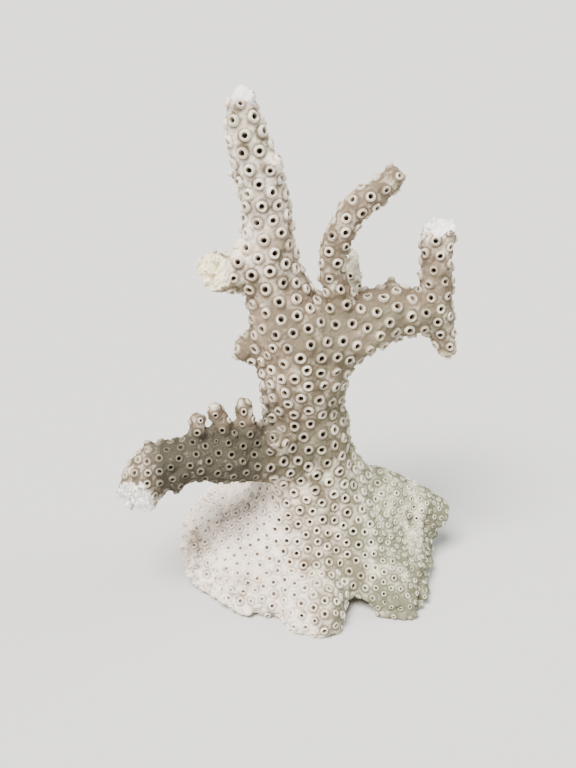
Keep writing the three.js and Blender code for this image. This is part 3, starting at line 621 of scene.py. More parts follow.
space, rad, high, wear = styles(C, CN)
rng = np.random.default_rng(SEED)
space = space * (1 + 0.06 * ripple(C, W_BLOTCH)) * rng.uniform(0.96, 1.05, len(C))
inv = (1.0 / space ** 2).astype(np.float32)
Cf = C.astype(np.float32)
best = np.full(len(C), 1e9, np.float32)
chosen = list(range(len(CROWNS)))
for i in chosen:
    d = Cf - Cf[i]
    np.minimum(best, np.einsum("ij,ij->i", d, d), out=best)
while True:
    sc = best * inv
    i = int(np.argmax(sc))
    if sc[i] < 1.0:
        break
    chosen.append(i)
    d = Cf - Cf[i]
    np.minimum(best, np.einsum("ij,ij->i", d, d), out=best)
chosen = np.array(chosen)
note("cups", len(chosen))
cc, cn, c_space = C[chosen], CN[chosen], space[chosen]
# the cups share the room out more evenly
for _ in range(7):
    D = np.linalg.norm(cc[:, None] - cc[None], axis=2).astype(np.float32)
    np.fill_diagonal(D, 99)
    reach = 0.75 * (c_space[:, None] + c_space[None])
    w = np.clip(1 - D / reach, 0, 1) / D
    push = cc * w.sum(1)[:, None] - w @ cc
    push -= np.einsum("ij,ij->i", push, cn)[:, None] * cn
    step = 0.55 * c_space[:, None] * push
    ln = np.linalg.norm(step, axis=1)[:, None] + 1e-9
    step *= np.minimum(1, 0.5 / ln)
    step[:len(CROWNS)] = 0
    P, n_ = project(cc + step, 2)
    okm = ~bare(P, n_)
    okm[:len(CROWNS)] = False
    cc[okm], cn[okm] = P[okm], n_[okm]
_, rad, high, wear = styles(cc, cn)
c_rad, c_high, c_wear = rad, high, wear
# the axis is that of the surface round the cup
e = 1.0
g = np.stack([field(cc + e * np.eye(3)[k]) - field(cc - e * np.eye(3)[k]) for k in range(3)], 1)
cn = g / np.linalg.norm(g, axis=1)[:, None]
girth = np.max([-field(cc - t * cn) for t in (1.0, 1.7, 2.4, 3.2, 4.2, 5.5)], axis=0)   # half the thickness here
c_rad = np.minimum(c_rad, 0.10 + 0.46 * girth)
c_rad[:len(CROWNS)] = crown_r
for i, (_, out, _) in enumerate(CROWN_LIST):
    out = np.array(out) / np.linalg.norm(out)
    cn[i] = 0.5 * cn[i] + 0.5 * out
    cn[i] /= np.linalg.norm(cn[i])
D = np.linalg.norm(cc[:, None] - cc[None], axis=2)
np.fill_diagonal(D, 99)
gap = D.min(1)
c_r = np.minimum(0.5 * (gap - 0.70), c_rad * rng.uniform(0.93, 1.05, len(cc)))
keep = c_r > 0.56
keep[:len(CROWNS)] = True
cc, cn, c_r, c_high, c_wear, c_rad, girth = cc[keep], cn[keep], c_r[keep], c_high[keep], c_wear[keep], c_rad[keep], girth[keep]
c_high = c_high * np.clip(c_r / c_rad, 0.6, 1.05) * rng.uniform(0.84, 1.14, len(cc))
note("cups kept", len(cc), "mean radius", round(float(c_r.mean()), 2), "mean gap", round(float(gap.mean()), 2))

# basis of each cup
ref = np.where(np.abs(cn[:, 2:3]) < 0.9, np.array([[0.0, 0.0, 1.0]]), np.array([[1.0, 0.0, 0.0]]))
t1 = np.cross(ref, cn)
t1 /= np.linalg.norm(t1, axis=1)[:, None]
t2 = np.cross(cn, t1)
reg_c = region(cc)

# vertices covered by a cup
kd = KDTree(len(cc))
for i, p in enumerate(cc.tolist()):
    kd.insert(p, i)
kd.balance()
near_i = np.empty(len(V), np.int64)
near_d = np.empty(len(V))
for i, p in enumerate(V.tolist()):
    _, j, d = kd.find(p)
    near_i[i] = j
    near_d[i] = d
cover = np.where(near_d < c_r[near_i] + 0.11, near_i, -1)
tri_cup = cover[T]
tc = tri_cup.max(1)
lowc = np.where(tri_cup < 0, 10 ** 9, tri_cup).min(1)
clash = (tc >= 0) & (lowc != tc)
bad = set(tri_cup[clash].ravel().tolist()) - {-1}
note("cups that meet", len(bad))

# hole outlines
order = np.argsort(tc, kind="stable")
starts = np.searchsorted(tc[order], np.arange(len(cc)))
ends = np.searchsorted(tc[order], np.arange(len(cc)), side="right")


def outline(tris):
    nxt = {}
    edges = set()
    for a, b, c in tris:
        for e in ((a, b), (b, c), (c, a)):
            edges.add(e)
    for a, b in edges:
        if (b, a) not in edges:
            if a in nxt:
                return None
            nxt[a] = b
    if not nxt:
        return None
    start = next(iter(nxt))
    loop = [start]
    q = nxt[start]
    while q != start:
        loop.append(q)
        q = nxt.get(q)
        if q is None or len(loop) > len(nxt):
            return None
    return loop if len(loop) == len(nxt) else None


BRANCH_RINGS = dict(n=24, rho=[1.0, 0.93, 0.85, 0.76, 0.67, 0.58, 0.50, 0.43, 0.37, 0.29], h=[0, 0.33, 0.68, 0.92, 1.0, 0.93, 0.66, 0.24, 0, 0], pit=[0, 0, 0, 0, 0, 0, 0, 0.06, 0.52, 1.0])
FOOT_RINGS = dict(n=12, rho=[1.0, 0.88, 0.74, 0.58, 0.44, 0.34], h=[0, 0.64, 1.0, 0.86, 0.14, 0], pit=[0, 0, 0, 0, 0.22, 1.0])
SMALL_RINGS = dict(n=11, rho=[1.0, 0.85, 0.68, 0.48, 0.35], h=[0, 0.68, 1.0, 0.40, 0], pit=[0, 0, 0, 0.1, 1.0])

new_pts, new_tris, new_meta = [], [], []   # points on the smooth surface; triangles; (cup, ring, seg)
drop = np.zeros(len(T), bool)
base_id = len(V)
n_new = 0
made = 0
failed = []
tri_owner = []
queue = [(j, 0) for j in range(len(cc))]
TRIES = (1.0, 0.92, 0.85, 0.78, 0.70)
while queue:
    j, tried = queue.pop(0)
    if tried == 0:
        if j in bad:
            queue.append((j, 1))
            continue
        ids = order[starts[j]:ends[j]]
    else:
        if tried >= len(TRIES):
            failed.append(j)
            continue
        if tried == 1:
            cover[cover == j] = -1
        shrink = c_r[j] * TRIES[tried]
        hit = np.flatnonzero(((V[:base_id] - cc[j]) ** 2).sum(1) < (shrink + 0.11) ** 2)
        ids = np.flatnonzero(np.isin(T, hit).any(1))
        if drop[ids].any():
            queue.append((j, tried + 1))
            continue
    if len(ids) < 6:
        queue.append((j, tried + 1))
        continue
    loop = outline(T[ids].tolist())
    if loop is None:
        queue.append((j, tried + 1))
        continue
    rel = V[loop] - cc[j]
    ang = np.arctan2(rel @ t2[j], rel @ t1[j])
    k0 = int(np.argmin(ang))
    loop = loop[k0:] + loop[:k0]
    ang = np.concatenate([ang[k0:], ang[:k0]])
    if (np.diff(ang) <= 1e-4).any():
        queue.append((j, tried + 1))
        continue
    if tried:
        c_r[j] *= TRIES[tried]
        c_high[j] *= 0.5 + 0.5 * TRIES[tried]
    style = BRANCH_RINGS if reg_c[j] not in (0, 9) else (FOOT_RINGS if c_r[j] > 1.07 else SMALL_RINGS)
    n, rho = style["n"], style["rho"]
    phase = -math.pi + 0.5 * 2 * math.pi / n
    th = phase + 2 * math.pi * np.arange(n) / n
    drop[ids] = True
    first = base_id + n_new
    k = len(rho)
    ring = np.array(rho)[:, None] * c_r[j]
    pts = cc[j] + (ring * np.cos(th))[..., None] * t1[j] + (ring * np.sin(th))[..., None] * t2[j]
    new_pts.append(pts.reshape(-1, 3))
    new_pts.append(cc[j][None])
    meta = np.empty((k * n + 1, 3))
    meta[:, 0] = j
    meta[:-1, 1] = np.repeat(np.arange(k), n)
    meta[-1, 1] = k
    meta[:-1, 2] = np.tile(np.arange(n), k)
    meta[-1, 2] = 0
    new_meta.append(meta)
    tris = []
    s = np.arange(n)
    s1 = (s + 1) % n
    for q in range(k - 1):
        o, i = first + q * n, first + (q + 1) * n
        tris += [np.stack([o + s, o + s1, i + s1], 1), np.stack([o + s, i + s1, i + s], 1)]
    i = first + (k - 1) * n
    tris.append(np.stack([i + s, i + s1, np.full(n, first + k * n)], 1))
    # zip the outer ring to the hole's outline; both run counter-clockwise from angle -pi
    a_ang = np.append(th, th[0] + 2 * math.pi)
    b_ang = np.append(ang, ang[0] + 2 * math.pi)
    m = len(loop)
    A, B = 0, 0
    z = []
    while A < n or B < m:
        take_a = B >= m or (A < n and a_ang[A + 1] < b_ang[B + 1])
        pa, pb = first + A % n, loop[B % m]
        if take_a:
            z.append((pa, pb, first + (A + 1) % n))
            A += 1
        else:
            z.append((pa, pb, loop[(B + 1) % m]))
            B += 1
    tris.append(np.array(z))
    tris = np.vstack(tris)
    new_tris.append(tris)
    tri_owner.append(np.full(len(tris), j))
    n_new += k * n + 1
    made += 1
note("cups made", made, "of", len(cc), "crowns", c_r[:len(CROWNS)].round(2).tolist())
note("not made", failed)
META = np.full((len(V) + n_new, 3), -1.0)
META[len(V):] = np.vstack(new_meta)
ring_pts, ring_n = project(np.vstack(new_pts), 2)
T_old = T[~drop]
T = np.vstack([T_old] + new_tris)
owner = np.concatenate([np.full(len(T_old), -1)] + tri_owner)
V = np.vstack([V, ring_pts])
N = np.vstack([N, ring_n])
used = np.zeros(len(V), bool)
used[T.ravel()] = True
remap = np.cumsum(used) - 1
V, N, META = V[used], N[used], META[used]
T = remap[T]
note("stitched", len(V), len(T))

# ease the triangles between the cups
E, te = edge_table(T)
free = (META[:, 0] < 0)
brk = np.zeros(len(V), bool)
for k in BREAKS:
    along, m, rough = break_depth(V, k)
    brk |= m & (along > -1.5)
free &= ~brk
for _ in range(3):
    m = neighbour_mean(V, E) - V
    m -= np.einsum("ij,ij->i", m, N)[:, None] * N
    fr = np.flatnonzero(free)
    P, n_ = project(V[fr] + 0.5 * m[fr], 1)
    V[fr], N[fr] = P, n_
note("eased")


def loops_of(tris):
    """Closed boundary loops of a patch, each in the patch's own direction."""
    n = int(tris.max()) + 1
    a = np.concatenate([tris[:, 0], tris[:, 1], tris[:, 2]]).astype(np.int64)
    b = np.concatenate([tris[:, 1], tris[:, 2], tris[:, 0]]).astype(np.int64)
    open_ = ~np.isin(a * n + b, b * n + a)
    nxt = {}
    for p, q in zip(a[open_].tolist(), b[open_].tolist()):
        nxt.setdefault(p, []).append(q)
    loops = []
    while nxt:
        p = next(iter(nxt))
        path, seen = [p], {p: 0}
        while True:
            q = nxt[path[-1]].pop()
            if not nxt[path[-1]]:
                del nxt[path[-1]]
            if q in seen:
                i = seen[q]
                loops.append(path[i:])
                for v in path[i + 1:]:
                    seen.pop(v)
                path = path[:i + 1]
                if path[-1] not in nxt:
                    break
            else:
                seen[q] = len(path)
                path.append(q)
    return loops


def crossings(P, rings):
    """How many of the closed rings each 2-D point lies inside."""
    inside = np.zeros(len(P), int)
    for R in rings:
        a, b = R, np.roll(R, -1, 0)
        odd = np.zeros(len(P), bool)
        for (x0, y0), (x1, y1) in zip(a, b):
            if y0 == y1:
                continue
            m = ((y0 > P[:, 1]) != (y1 > P[:, 1]))
            odd ^= m & (P[:, 0] < (x1 - x0) * (P[:, 1] - y0) / (y1 - y0) + x0)
        inside += odd
    return inside


# the resting face is filled again with larger triangles
flat = (V[T][:, :, 2] < 0.02).all(1) & (owner < 0)
f_loops = loops_of(T[flat])
rings_xy = [V[l][:, :2] for l in f_loops if len(l) > 2]
lo_xy, hi_xy = V[T[flat].ravel()].min(0)[:2], V[T[flat].ravel()].max(0)[:2]
r4 = np.random.default_rng(SEED + 9)
gx, gy = np.meshgrid(np.arange(lo_xy[0], hi_xy[0], 1.3), np.arange(lo_xy[1], hi_xy[1], 1.3), indexing="ij")
grid = np.stack([gx.ravel(), gy.ravel()], 1) + r4.uniform(-0.38, 0.38, (gx.size, 2))
grid = grid[crossings(grid, rings_xy) % 2 == 1]
edge_pts = np.vstack(rings_xy)
far = np.ones(len(grid), bool)
for i in range(0, len(grid), 500):
    far[i:i + 500] = (((grid[i:i + 500, None] - edge_pts[None]) ** 2).sum(2).min(1) > 0.55)
grid = grid[far]
ring_ids = np.concatenate([np.array(l) for l in f_loops if len(l) > 2])
segs_2d, k = [], 0
for R in rings_xy:
    segs_2d += [(k + i, k + (i + 1) % len(R)) for i in range(len(R))]
    k += len(R)
co, _, faces, vmap, _, _ = delaunay_2d_cdt([Vector(p) for p in np.vstack([edge_pts, grid]).tolist()], segs_2d, [], 1, 1e-7, True)
co = np.array([tuple(c) for c in co])
src = np.array([o[0] if len(o) else -1 for o in vmap])
faces = np.array([f for f in faces if len(f) == 3])
faces = faces[(crossings(co[faces].mean(1), rings_xy) % 2 == 1) & (src[faces] >= 0).all(1)]
a, b, c = co[faces[:, 0]], co[faces[:, 1]], co[faces[:, 2]]
ccw = ((b - a)[:, 0] * (c - a)[:, 1] - (b - a)[:, 1] * (c - a)[:, 0]) > 0
faces[ccw] = faces[ccw][:, ::-1]       # faces look down
new_id = np.concatenate([ring_ids, len(V) + np.arange(len(grid))])
fill = new_id[src[faces]]
T = np.vstack([T[~flat], fill])
owner = np.concatenate([owner[~flat], np.full(len(fill), -1)])
first_under = len(V)
V = np.vstack([V, np.column_stack([grid, np.zeros(len(grid))])])
N = np.vstack([N, np.tile([0.0, 0.0, -1.0], (len(grid), 1))])
META = np.vstack([META, np.full((len(grid), 3), -1.0)])
open_edges = sum(len(l) for l in loops_of(T))
note("resting face", int(flat.sum()), "->", len(fill), "open edges", open_edges)
used = np.zeros(len(V), bool)
used[T.ravel()] = True
is_under = np.arange(len(V)) >= first_under
remap = np.cumsum(used) - 1
V, N, META, is_under = V[used], N[used], META[used], is_under[used]
T = remap[T]
SMOOTH = V.copy()   # the surface before the cups are raised, which the material maps follow

# =============================================================== raise the cups
disp = np.zeros_like(V)
rim = np.zeros(len(V))
pit = np.zeros(len(V))
inner = np.zeros(len(V))
cup_foot_shade = np.zeros(len(V))
cup = META[:, 0].astype(int)
rings = META[:, 1].astype(int)
segs = META[:, 2].astype(int)
r2 = np.random.default_rng(SEED + 5)
c_pit = np.minimum(r2.uniform(0.75, 1.1, len(cc)) * (0.55 + 0.55 * c_r) * (1 - 0.40 * c_wear), 0.38 * girth)
c_phase = r2.uniform(0, 2 * np.pi, len(cc))
c_chip = r2.uniform(0, 0.22, len(cc)) + 0.25 * (r2.uniform(size=len(cc)) < 0.10)
lean = r2.normal(size=(len(cc), 3)) * 0.10
c_tone = r2.uniform(0.45, 1.0, len(cc))
up_dir = np.tile(np.array([0.0, 0.0, 1.0]), (len(cc), 1))
# cups on the branches look a little towards the tip
tip = {"leader": (-0.12, -0.03, 0.99), "right_upright": (0, 0, 1), "curved_branch": (0.5, 0.1, 0.85), "trunk": (-0.1, 0, 1), "right_arm": (0.9, 0.1, 0.2),
       "lower_left_branch": (-0.9, -0.35, -0.1), "leader_side_stub": (-0.9, -0.3, 0), "back_stub": (0, 0.1, 1), "branchlet_outer": (0, 0, 1), "branchlet_middle": (-0.2, 0, 1), "branchlet_inner": (0, 0, 1), "right_lower_stub": (0.4, -0.2, -0.9), "base": (0, 0, 0)}
for i, n in enumerate(NODES):
    up_dir[reg_c == i] = tip[n]
axis = cn + 0.18 * up_dir + lean
axis /= np.linalg.norm(axis, axis=1)[:, None]
for style in (BRANCH_RINGS, FOOT_RINGS, SMALL_RINGS):
    big = style["n"]
    kind = np.where(np.isin(reg_c, (0, 9)), np.where(c_r > 1.07, 12, 11), 24)
    on = np.flatnonzero((cup >= 0) & (kind[np.maximum(cup, 0)] == big))
    k = len(style["rho"])
    hh = np.append(style["h"], 0.0)
    pp = np.append(style["pit"], 0.92)
    rh = np.append(style["rho"], 0.0)
    c, r, s = cup[on], rings[on], segs[on]
    th = 2 * np.pi * s / big
    edge = 1 + 0.10 * np.cos(th + c_phase[c]) + 0.06 * np.cos(3 * th + 2 * c_phase[c]) - c_chip[c] * np.clip(np.cos(2 * th + 3 * c_phase[c]), 0, 1) ** 2
    septa = np.where(s % 2 == 0, 1.0, -1.0) * ((rh[r] < 0.60) & (rh[r] > 0.40))
    height = c_high[c] * (hh[r] * edge + 0.10 * septa)
    depth = c_pit[c] * pp[r]
    w = np.clip(hh[r], 0, 1)[:, None]
    disp[on] = axis[c] * (height - depth)[:, None]
    # pit edge drawn in between the septa
    inn = (rh[r] < 0.52) & (rh[r] > 0.30)
    radial = SMOOTH[on] - cc[c]
    disp[on] += np.where(inn, -0.07 * np.where(s % 2 == 0, 1.0, -1.0), 0.0)[:, None] * radial
    rim[on] = np.where(rh[r] > 0.6, np.clip(hh[r] / 0.6, 0, 1), np.clip((rh[r] - 0.42) / 0.10, 0, 1))
    rim[on] *= c_tone[c]
    inner[on] = smooth_step(-rh[r], -0.60, -0.42)
    # painted shade in the pit of each cup
    pit[on] = smooth_step(-rh[r], -0.46, -0.32) * (1 - 0.75 * c_wear[c])
    # painted shade on the cup's outermost ring
    cup_foot_shade[on] = (rh[r] > 0.95) * 0.8
# painted shade: the ground darkens towards the foot of each cup
bg = np.flatnonzero(cup < 0)
for i in bg.tolist():
    _, j, d = kd.find(V[i].tolist())
    cup_foot_shade[i] = d - c_r[j]
cup_foot_shade[bg] = smooth_step(-cup_foot_shade[bg], -1.0, -0.05)
grain = ripple(V[bg], W_GRAIN)
broken = np.zeros(len(V))
for k in BREAKS:
    along, m, rough = break_depth(V, k)
    mi = np.flatnonzero(m)
    broken[mi] = np.maximum(broken[mi], smooth_step(break_face(V[mi], k), -0.75, -0.1))
under = smooth_step(-N[:, 2], 0.5, 0.9) * smooth_step(-V[:, 2], -3.5, -1.0) * (region(V) == 0)
disp[bg] += N[bg] * ((0.06 * grain + 0.08 * ripple(V[bg], W_CRUMB)) * (1 - broken[bg]) * (1 - under[bg]))[:, None]
bumpy = (1 - broken) * (1 - under) * smooth_step(V[:, 2], 0.2, 2.0)
disp += N * (bumpy * (0.13 * ripple(V, W_RIM) + 0.07 * ripple(V, W_BREAK)))[:, None]
W = V + disp
W[:, 2] = np.maximum(W[:, 2], 0.0)
W[is_under, 2] = np.clip(0.22 + 0.20 * ripple(W[is_under], W_LUMP) + 0.14 * ripple(W[is_under], W_BREAK), 0, 0.9)
note("raised")

# how deep in a crevice each point lies; below it darkens the ground colour as painted shade in the crevices
cavity = np.clip(1 - np.clip(field(V + 3.0 * N) / 3.0, -1, 1.0), 0, 1)   # 1 in a crevice
NORMAL = vertex_normals(W, T)

# =============================================================== part it at the forks
cen = SMOOTH[T].mean(1)
label = region(cen)
m = owner >= 0
label[m] = reg_c[owner[m]]
# a stray scrap goes to its neighbour
E, te = edge_table(T)
o = np.argsort(te.ravel(), kind="stable")
pair = np.stack([o[0::2] // 3, o[1::2] // 3], 1)   # the two triangles on each edge
for _ in range(3):
    same = label[pair[:, 0]] == label[pair[:, 1]]
    a, b = pair[same].T
    comp = np.arange(len(T))
    while True:
        low = np.minimum(comp[a], comp[b])
        nxt_c = comp.copy()
        np.minimum.at(nxt_c, a, low)
        np.minimum.at(nxt_c, b, low)
        nxt_c = nxt_c[nxt_c]
        nxt_c = nxt_c[nxt_c]
        if (nxt_c == comp).all():
            break
        comp = nxt_c
    size = np.bincount(comp, minlength=len(T))[comp]
    ab = pair[~same]
    for p, q in (ab.T, ab.T[::-1]):
        m = (size[p] < 400) & (size[q] > size[p])
        tiny = dict(zip(comp[p[m]].tolist(), label[q[m]].tolist()))
    scraps = np.isin(comp, list(tiny)) if tiny else np.zeros(len(T), bool)
    if not scraps.any():
        break
    note("scraps", int(scraps.sum()))
    label[scraps] = [tiny[c] for c in comp[scraps].tolist()]

# vertices where three or more parts meet, and one shared inner point for the faces that pass through them
bits = np.zeros(len(W), np.int64)
for c in range(3):
    np.bitwise_or.at(bits, T[:, c], 1 << label)
many = np.array([bin(int(b)).count("1") for b in bits])
corners = set(np.flatnonzero(many >= 3).tolist())
note("corner vertices", len(corners))
ALL_LOOPS = {i: [l for l in loops_of(T[label == i]) if len(l) > 2] for i in range(len(NODES))}
group = {c: c for c in corners}


def root_of(c):
    while group[c] != c:
        group[c] = group[group[c]]
        c = group[c]
    return c


for ls in ALL_LOOPS.values():
    for l in ls:
        on_it = [v for v in l if v in corners]
        for v in on_it[1:]:
            group[root_of(v)] = root_of(on_it[0])
APEX = {}
for g_ in {root_of(c) for c in corners}:
    members = [c for c in corners if root_of(c) == g_]
    pt = SMOOTH[members].mean(0)[None]
    for _ in range(4):
        f0 = field(pt)
        if f0[0] < -1.0:
            break
        gr = np.array([(field(pt + 0.1 * np.eye(3)[k]) - f0)[0] / 0.1 for k in range(3)])
        pt = pt - (f0[0] + 1.3) * gr[None] / max(np.linalg.norm(gr), 0.2)
    APEX[g_] = pt[0]
    note("shared inner point", pt[0].round(1).tolist(), "from", len(members), [n for i, n in enumerate(NODES) if any(bits[c] >> i & 1 for c in members)])


def cap(loop, base):
    """Closes a loop with shrinking rings. Returns new points and triangles."""
    P = W[loop]
    shared = [v for v in loop.tolist() if v in corners]
    c = APEX[root_of(shared[0])] if shared else P.mean(0)
    n = len(loop)
    pts, tris = [], []
    prev = np.array(loop)
    start = base
    if n > 12:
        for f in (0.7, 0.4):
            ring = c + (P - c) * f
            ids = start + np.arange(n)
            pts.append(ring)
            s1 = (np.arange(n) + 1) % n
            tris += [np.stack([prev[s1], prev, ids], 1), np.stack([prev[s1], ids, ids[s1]], 1)]
            prev = ids
            start += n
    pts.append(c[None])
    s1 = (np.arange(n) + 1) % n
    tris.append(np.stack([prev[s1], prev, np.full(n, start)], 1))
    return np.vstack(pts), np.vstack(tris)


# =============================================================== colour attributes
x, y, z = SMOOTH.T
tone = ripple(SMOOTH, W_TONE)
blotch = ripple(SMOOTH, W_BLOTCH)
reg_v = region(SMOOTH)
ang_v = smooth_step(x + 0.35 * (np.hypot(x, y) - 20), 4, 20)
foot_v = smooth_step(-z, -42, -30)
left_foot = foot_v * smooth_step(-x + 0.25 * (np.hypot(x, y) - 20), -2, 14)
# the low left branch and the trunk's side beside it: olive stain with painted shade
low_left_stain_shade = smooth_step(-x, 10, 22) * smooth_step(z, 31, 37) * smooth_step(-z, -60, -53)
end_pale = smooth_step(-x + 0.5 * blotch, 41.5, 51.5) * smooth_step(z, 30, 33)
# the trunk's front face, painted darker and more olive as shade
trunk_front_shade = smooth_step(z, 36, 48) * smooth_step(-z, -76, -56) * smooth_step(-y, -2, 7)
# darkness of the ground between the cups: real stain and random tone, plus painted shade in crevices, on the trunk
# front, beside the low left branch and below the front knob
stain_and_shade = 0.50 + 0.12 * blotch + 0.08 * tone
for at, size, much in (((-14.0, -7.5, 129.8), 3.4, 0.26), ((-21.0, -5.0, 145.0), 2.6, 0.24)):
    stain_and_shade += much * np.exp(-((SMOOTH - np.array(at)) ** 2).sum(1) / size ** 2)
stain_and_shade += (0.18 * smooth_step(z, 40, 48) + 0.20 * smooth_step(z, 64, 78)) * (1 - low_left_stain_shade)
stain_and_shade -= 0.50 * smooth_step(z, 88, 106) * (x < 0)
stain_and_shade -= 0.15 * smooth_step(z, 96, 108) * (x > 0)
# painted shade on the trunk front
stain_and_shade += 0.12 * trunk_front_shade
stain_and_shade -= 0.36 * left_foot * (1 + 0.25 * blotch)
stain_and_shade += 0.04 * foot_v * (1 - left_foot)
stain_and_shade += foot_v * ang_v * (0.0 + 0.26 * smooth_step(np.hypot(x, y), 32, 40))
# low left branch darker with stain and painted shade, its broken end paler; painted shade in crevices from the cavity
# measure
stain_and_shade += 0.66 * low_left_stain_shade * (1 - 0.95 * end_pale) + 0.25 * smooth_step(cavity, 0.15, 0.7) * (1 - 0.7 * left_foot)
stain_and_shade -= 0.12 * smooth_step(x, 26, 31) + 0.40 * np.exp(-((x + 12.7) ** 2 + (y + 14.5) ** 2 + (z - 53) ** 2) / 11.0)
# painted light: the back stub is painted pale and cool, as lit from the right and behind
back_stub_painted_light = smooth_step(z, 83, 90) * smooth_step(y, 4, 8) * smooth_step(-np.abs(x - 10.3), -7.0, -4.5)
stain_and_shade += (0.04 - stain_and_shade) * back_stub_painted_light
# below the front knob, between it and the low branch: a darker, greener patch of stain with painted shade
below_knob_stain_shade = np.exp(-((x + 5.0) / 9.0) ** 2) * smooth_step(z, 33, 40) * smooth_step(-z, -57, -47) * smooth_step(-y, 2, 8)
stain_and_shade += 0.26 * below_knob_stain_shade * (1 + 0.3 * blotch) * (1 - np.exp(-((x + 12.7) ** 2 + (y + 14.5) ** 2 + (z - 53) ** 2) / 11.0))
stain_and_shade = np.clip(stain_and_shade, 0, 1)
# painted cool light: the right side, the back and the trunk below the fork take a greener, greyer tint, as where the
# cool light falls
cool_light_tint = np.clip(0.12 + 0.55 * ang_v * smooth_step(-z, -80, -50) + 0.30 * smooth_step(x, -14, 8) * (z < 90) + 0.45 * smooth_step(y, 2, 10) + 0.10 * tone - 0.5 * left_foot, 0, 1)
cool_light_tint = np.clip(cool_light_tint + 0.4 * below_knob_stain_shade, 0, 1)
cool_light_tint += (0.55 - cool_light_tint) * back_stub_painted_light
# olive hue of the low left branch's stain, also laid on the painted shade of the trunk front and below the front knob
olive = np.clip(low_left_stain_shade * (1 - 0.85 * end_pale) + 0.25 * trunk_front_shade * smooth_step(-x, -2, 8) + 0.25 * below_knob_stain_shade, 0, 1)
# painted warm light: the left foot and the left front of the leader take a pinker, paler tint, as where the warm light
# falls
warm_light_tint = np.clip(left_foot * 0.9 + 0.70 * smooth_step(z, 95, 110) * smooth_step(-y, -4, 4) * (x < 0) * (1 - cool_light_tint) + 0.1 * blotch, 0, 1)
warm_face = np.zeros(len(SMOOTH))
along, m, _ = break_depth(SMOOTH, "leader_side_stub")
warm_face[m] = 1.0
tipw = 0.95 * smooth_step(z + 0.5 * blotch, 146.8, 149.2) * (reg_v == 2)
ATTR = {"rim": rim, "pit": pit, "cup_foot_shade": cup_foot_shade, "broken": np.clip(broken + tipw, 0, 1), "stain_and_shade": stain_and_shade, "cool_light_tint": cool_light_tint, "warm_face": warm_face, "cavity": cavity, "under": under, "inner": inner, "olive": olive, "warm_light_tint": warm_light_tint}


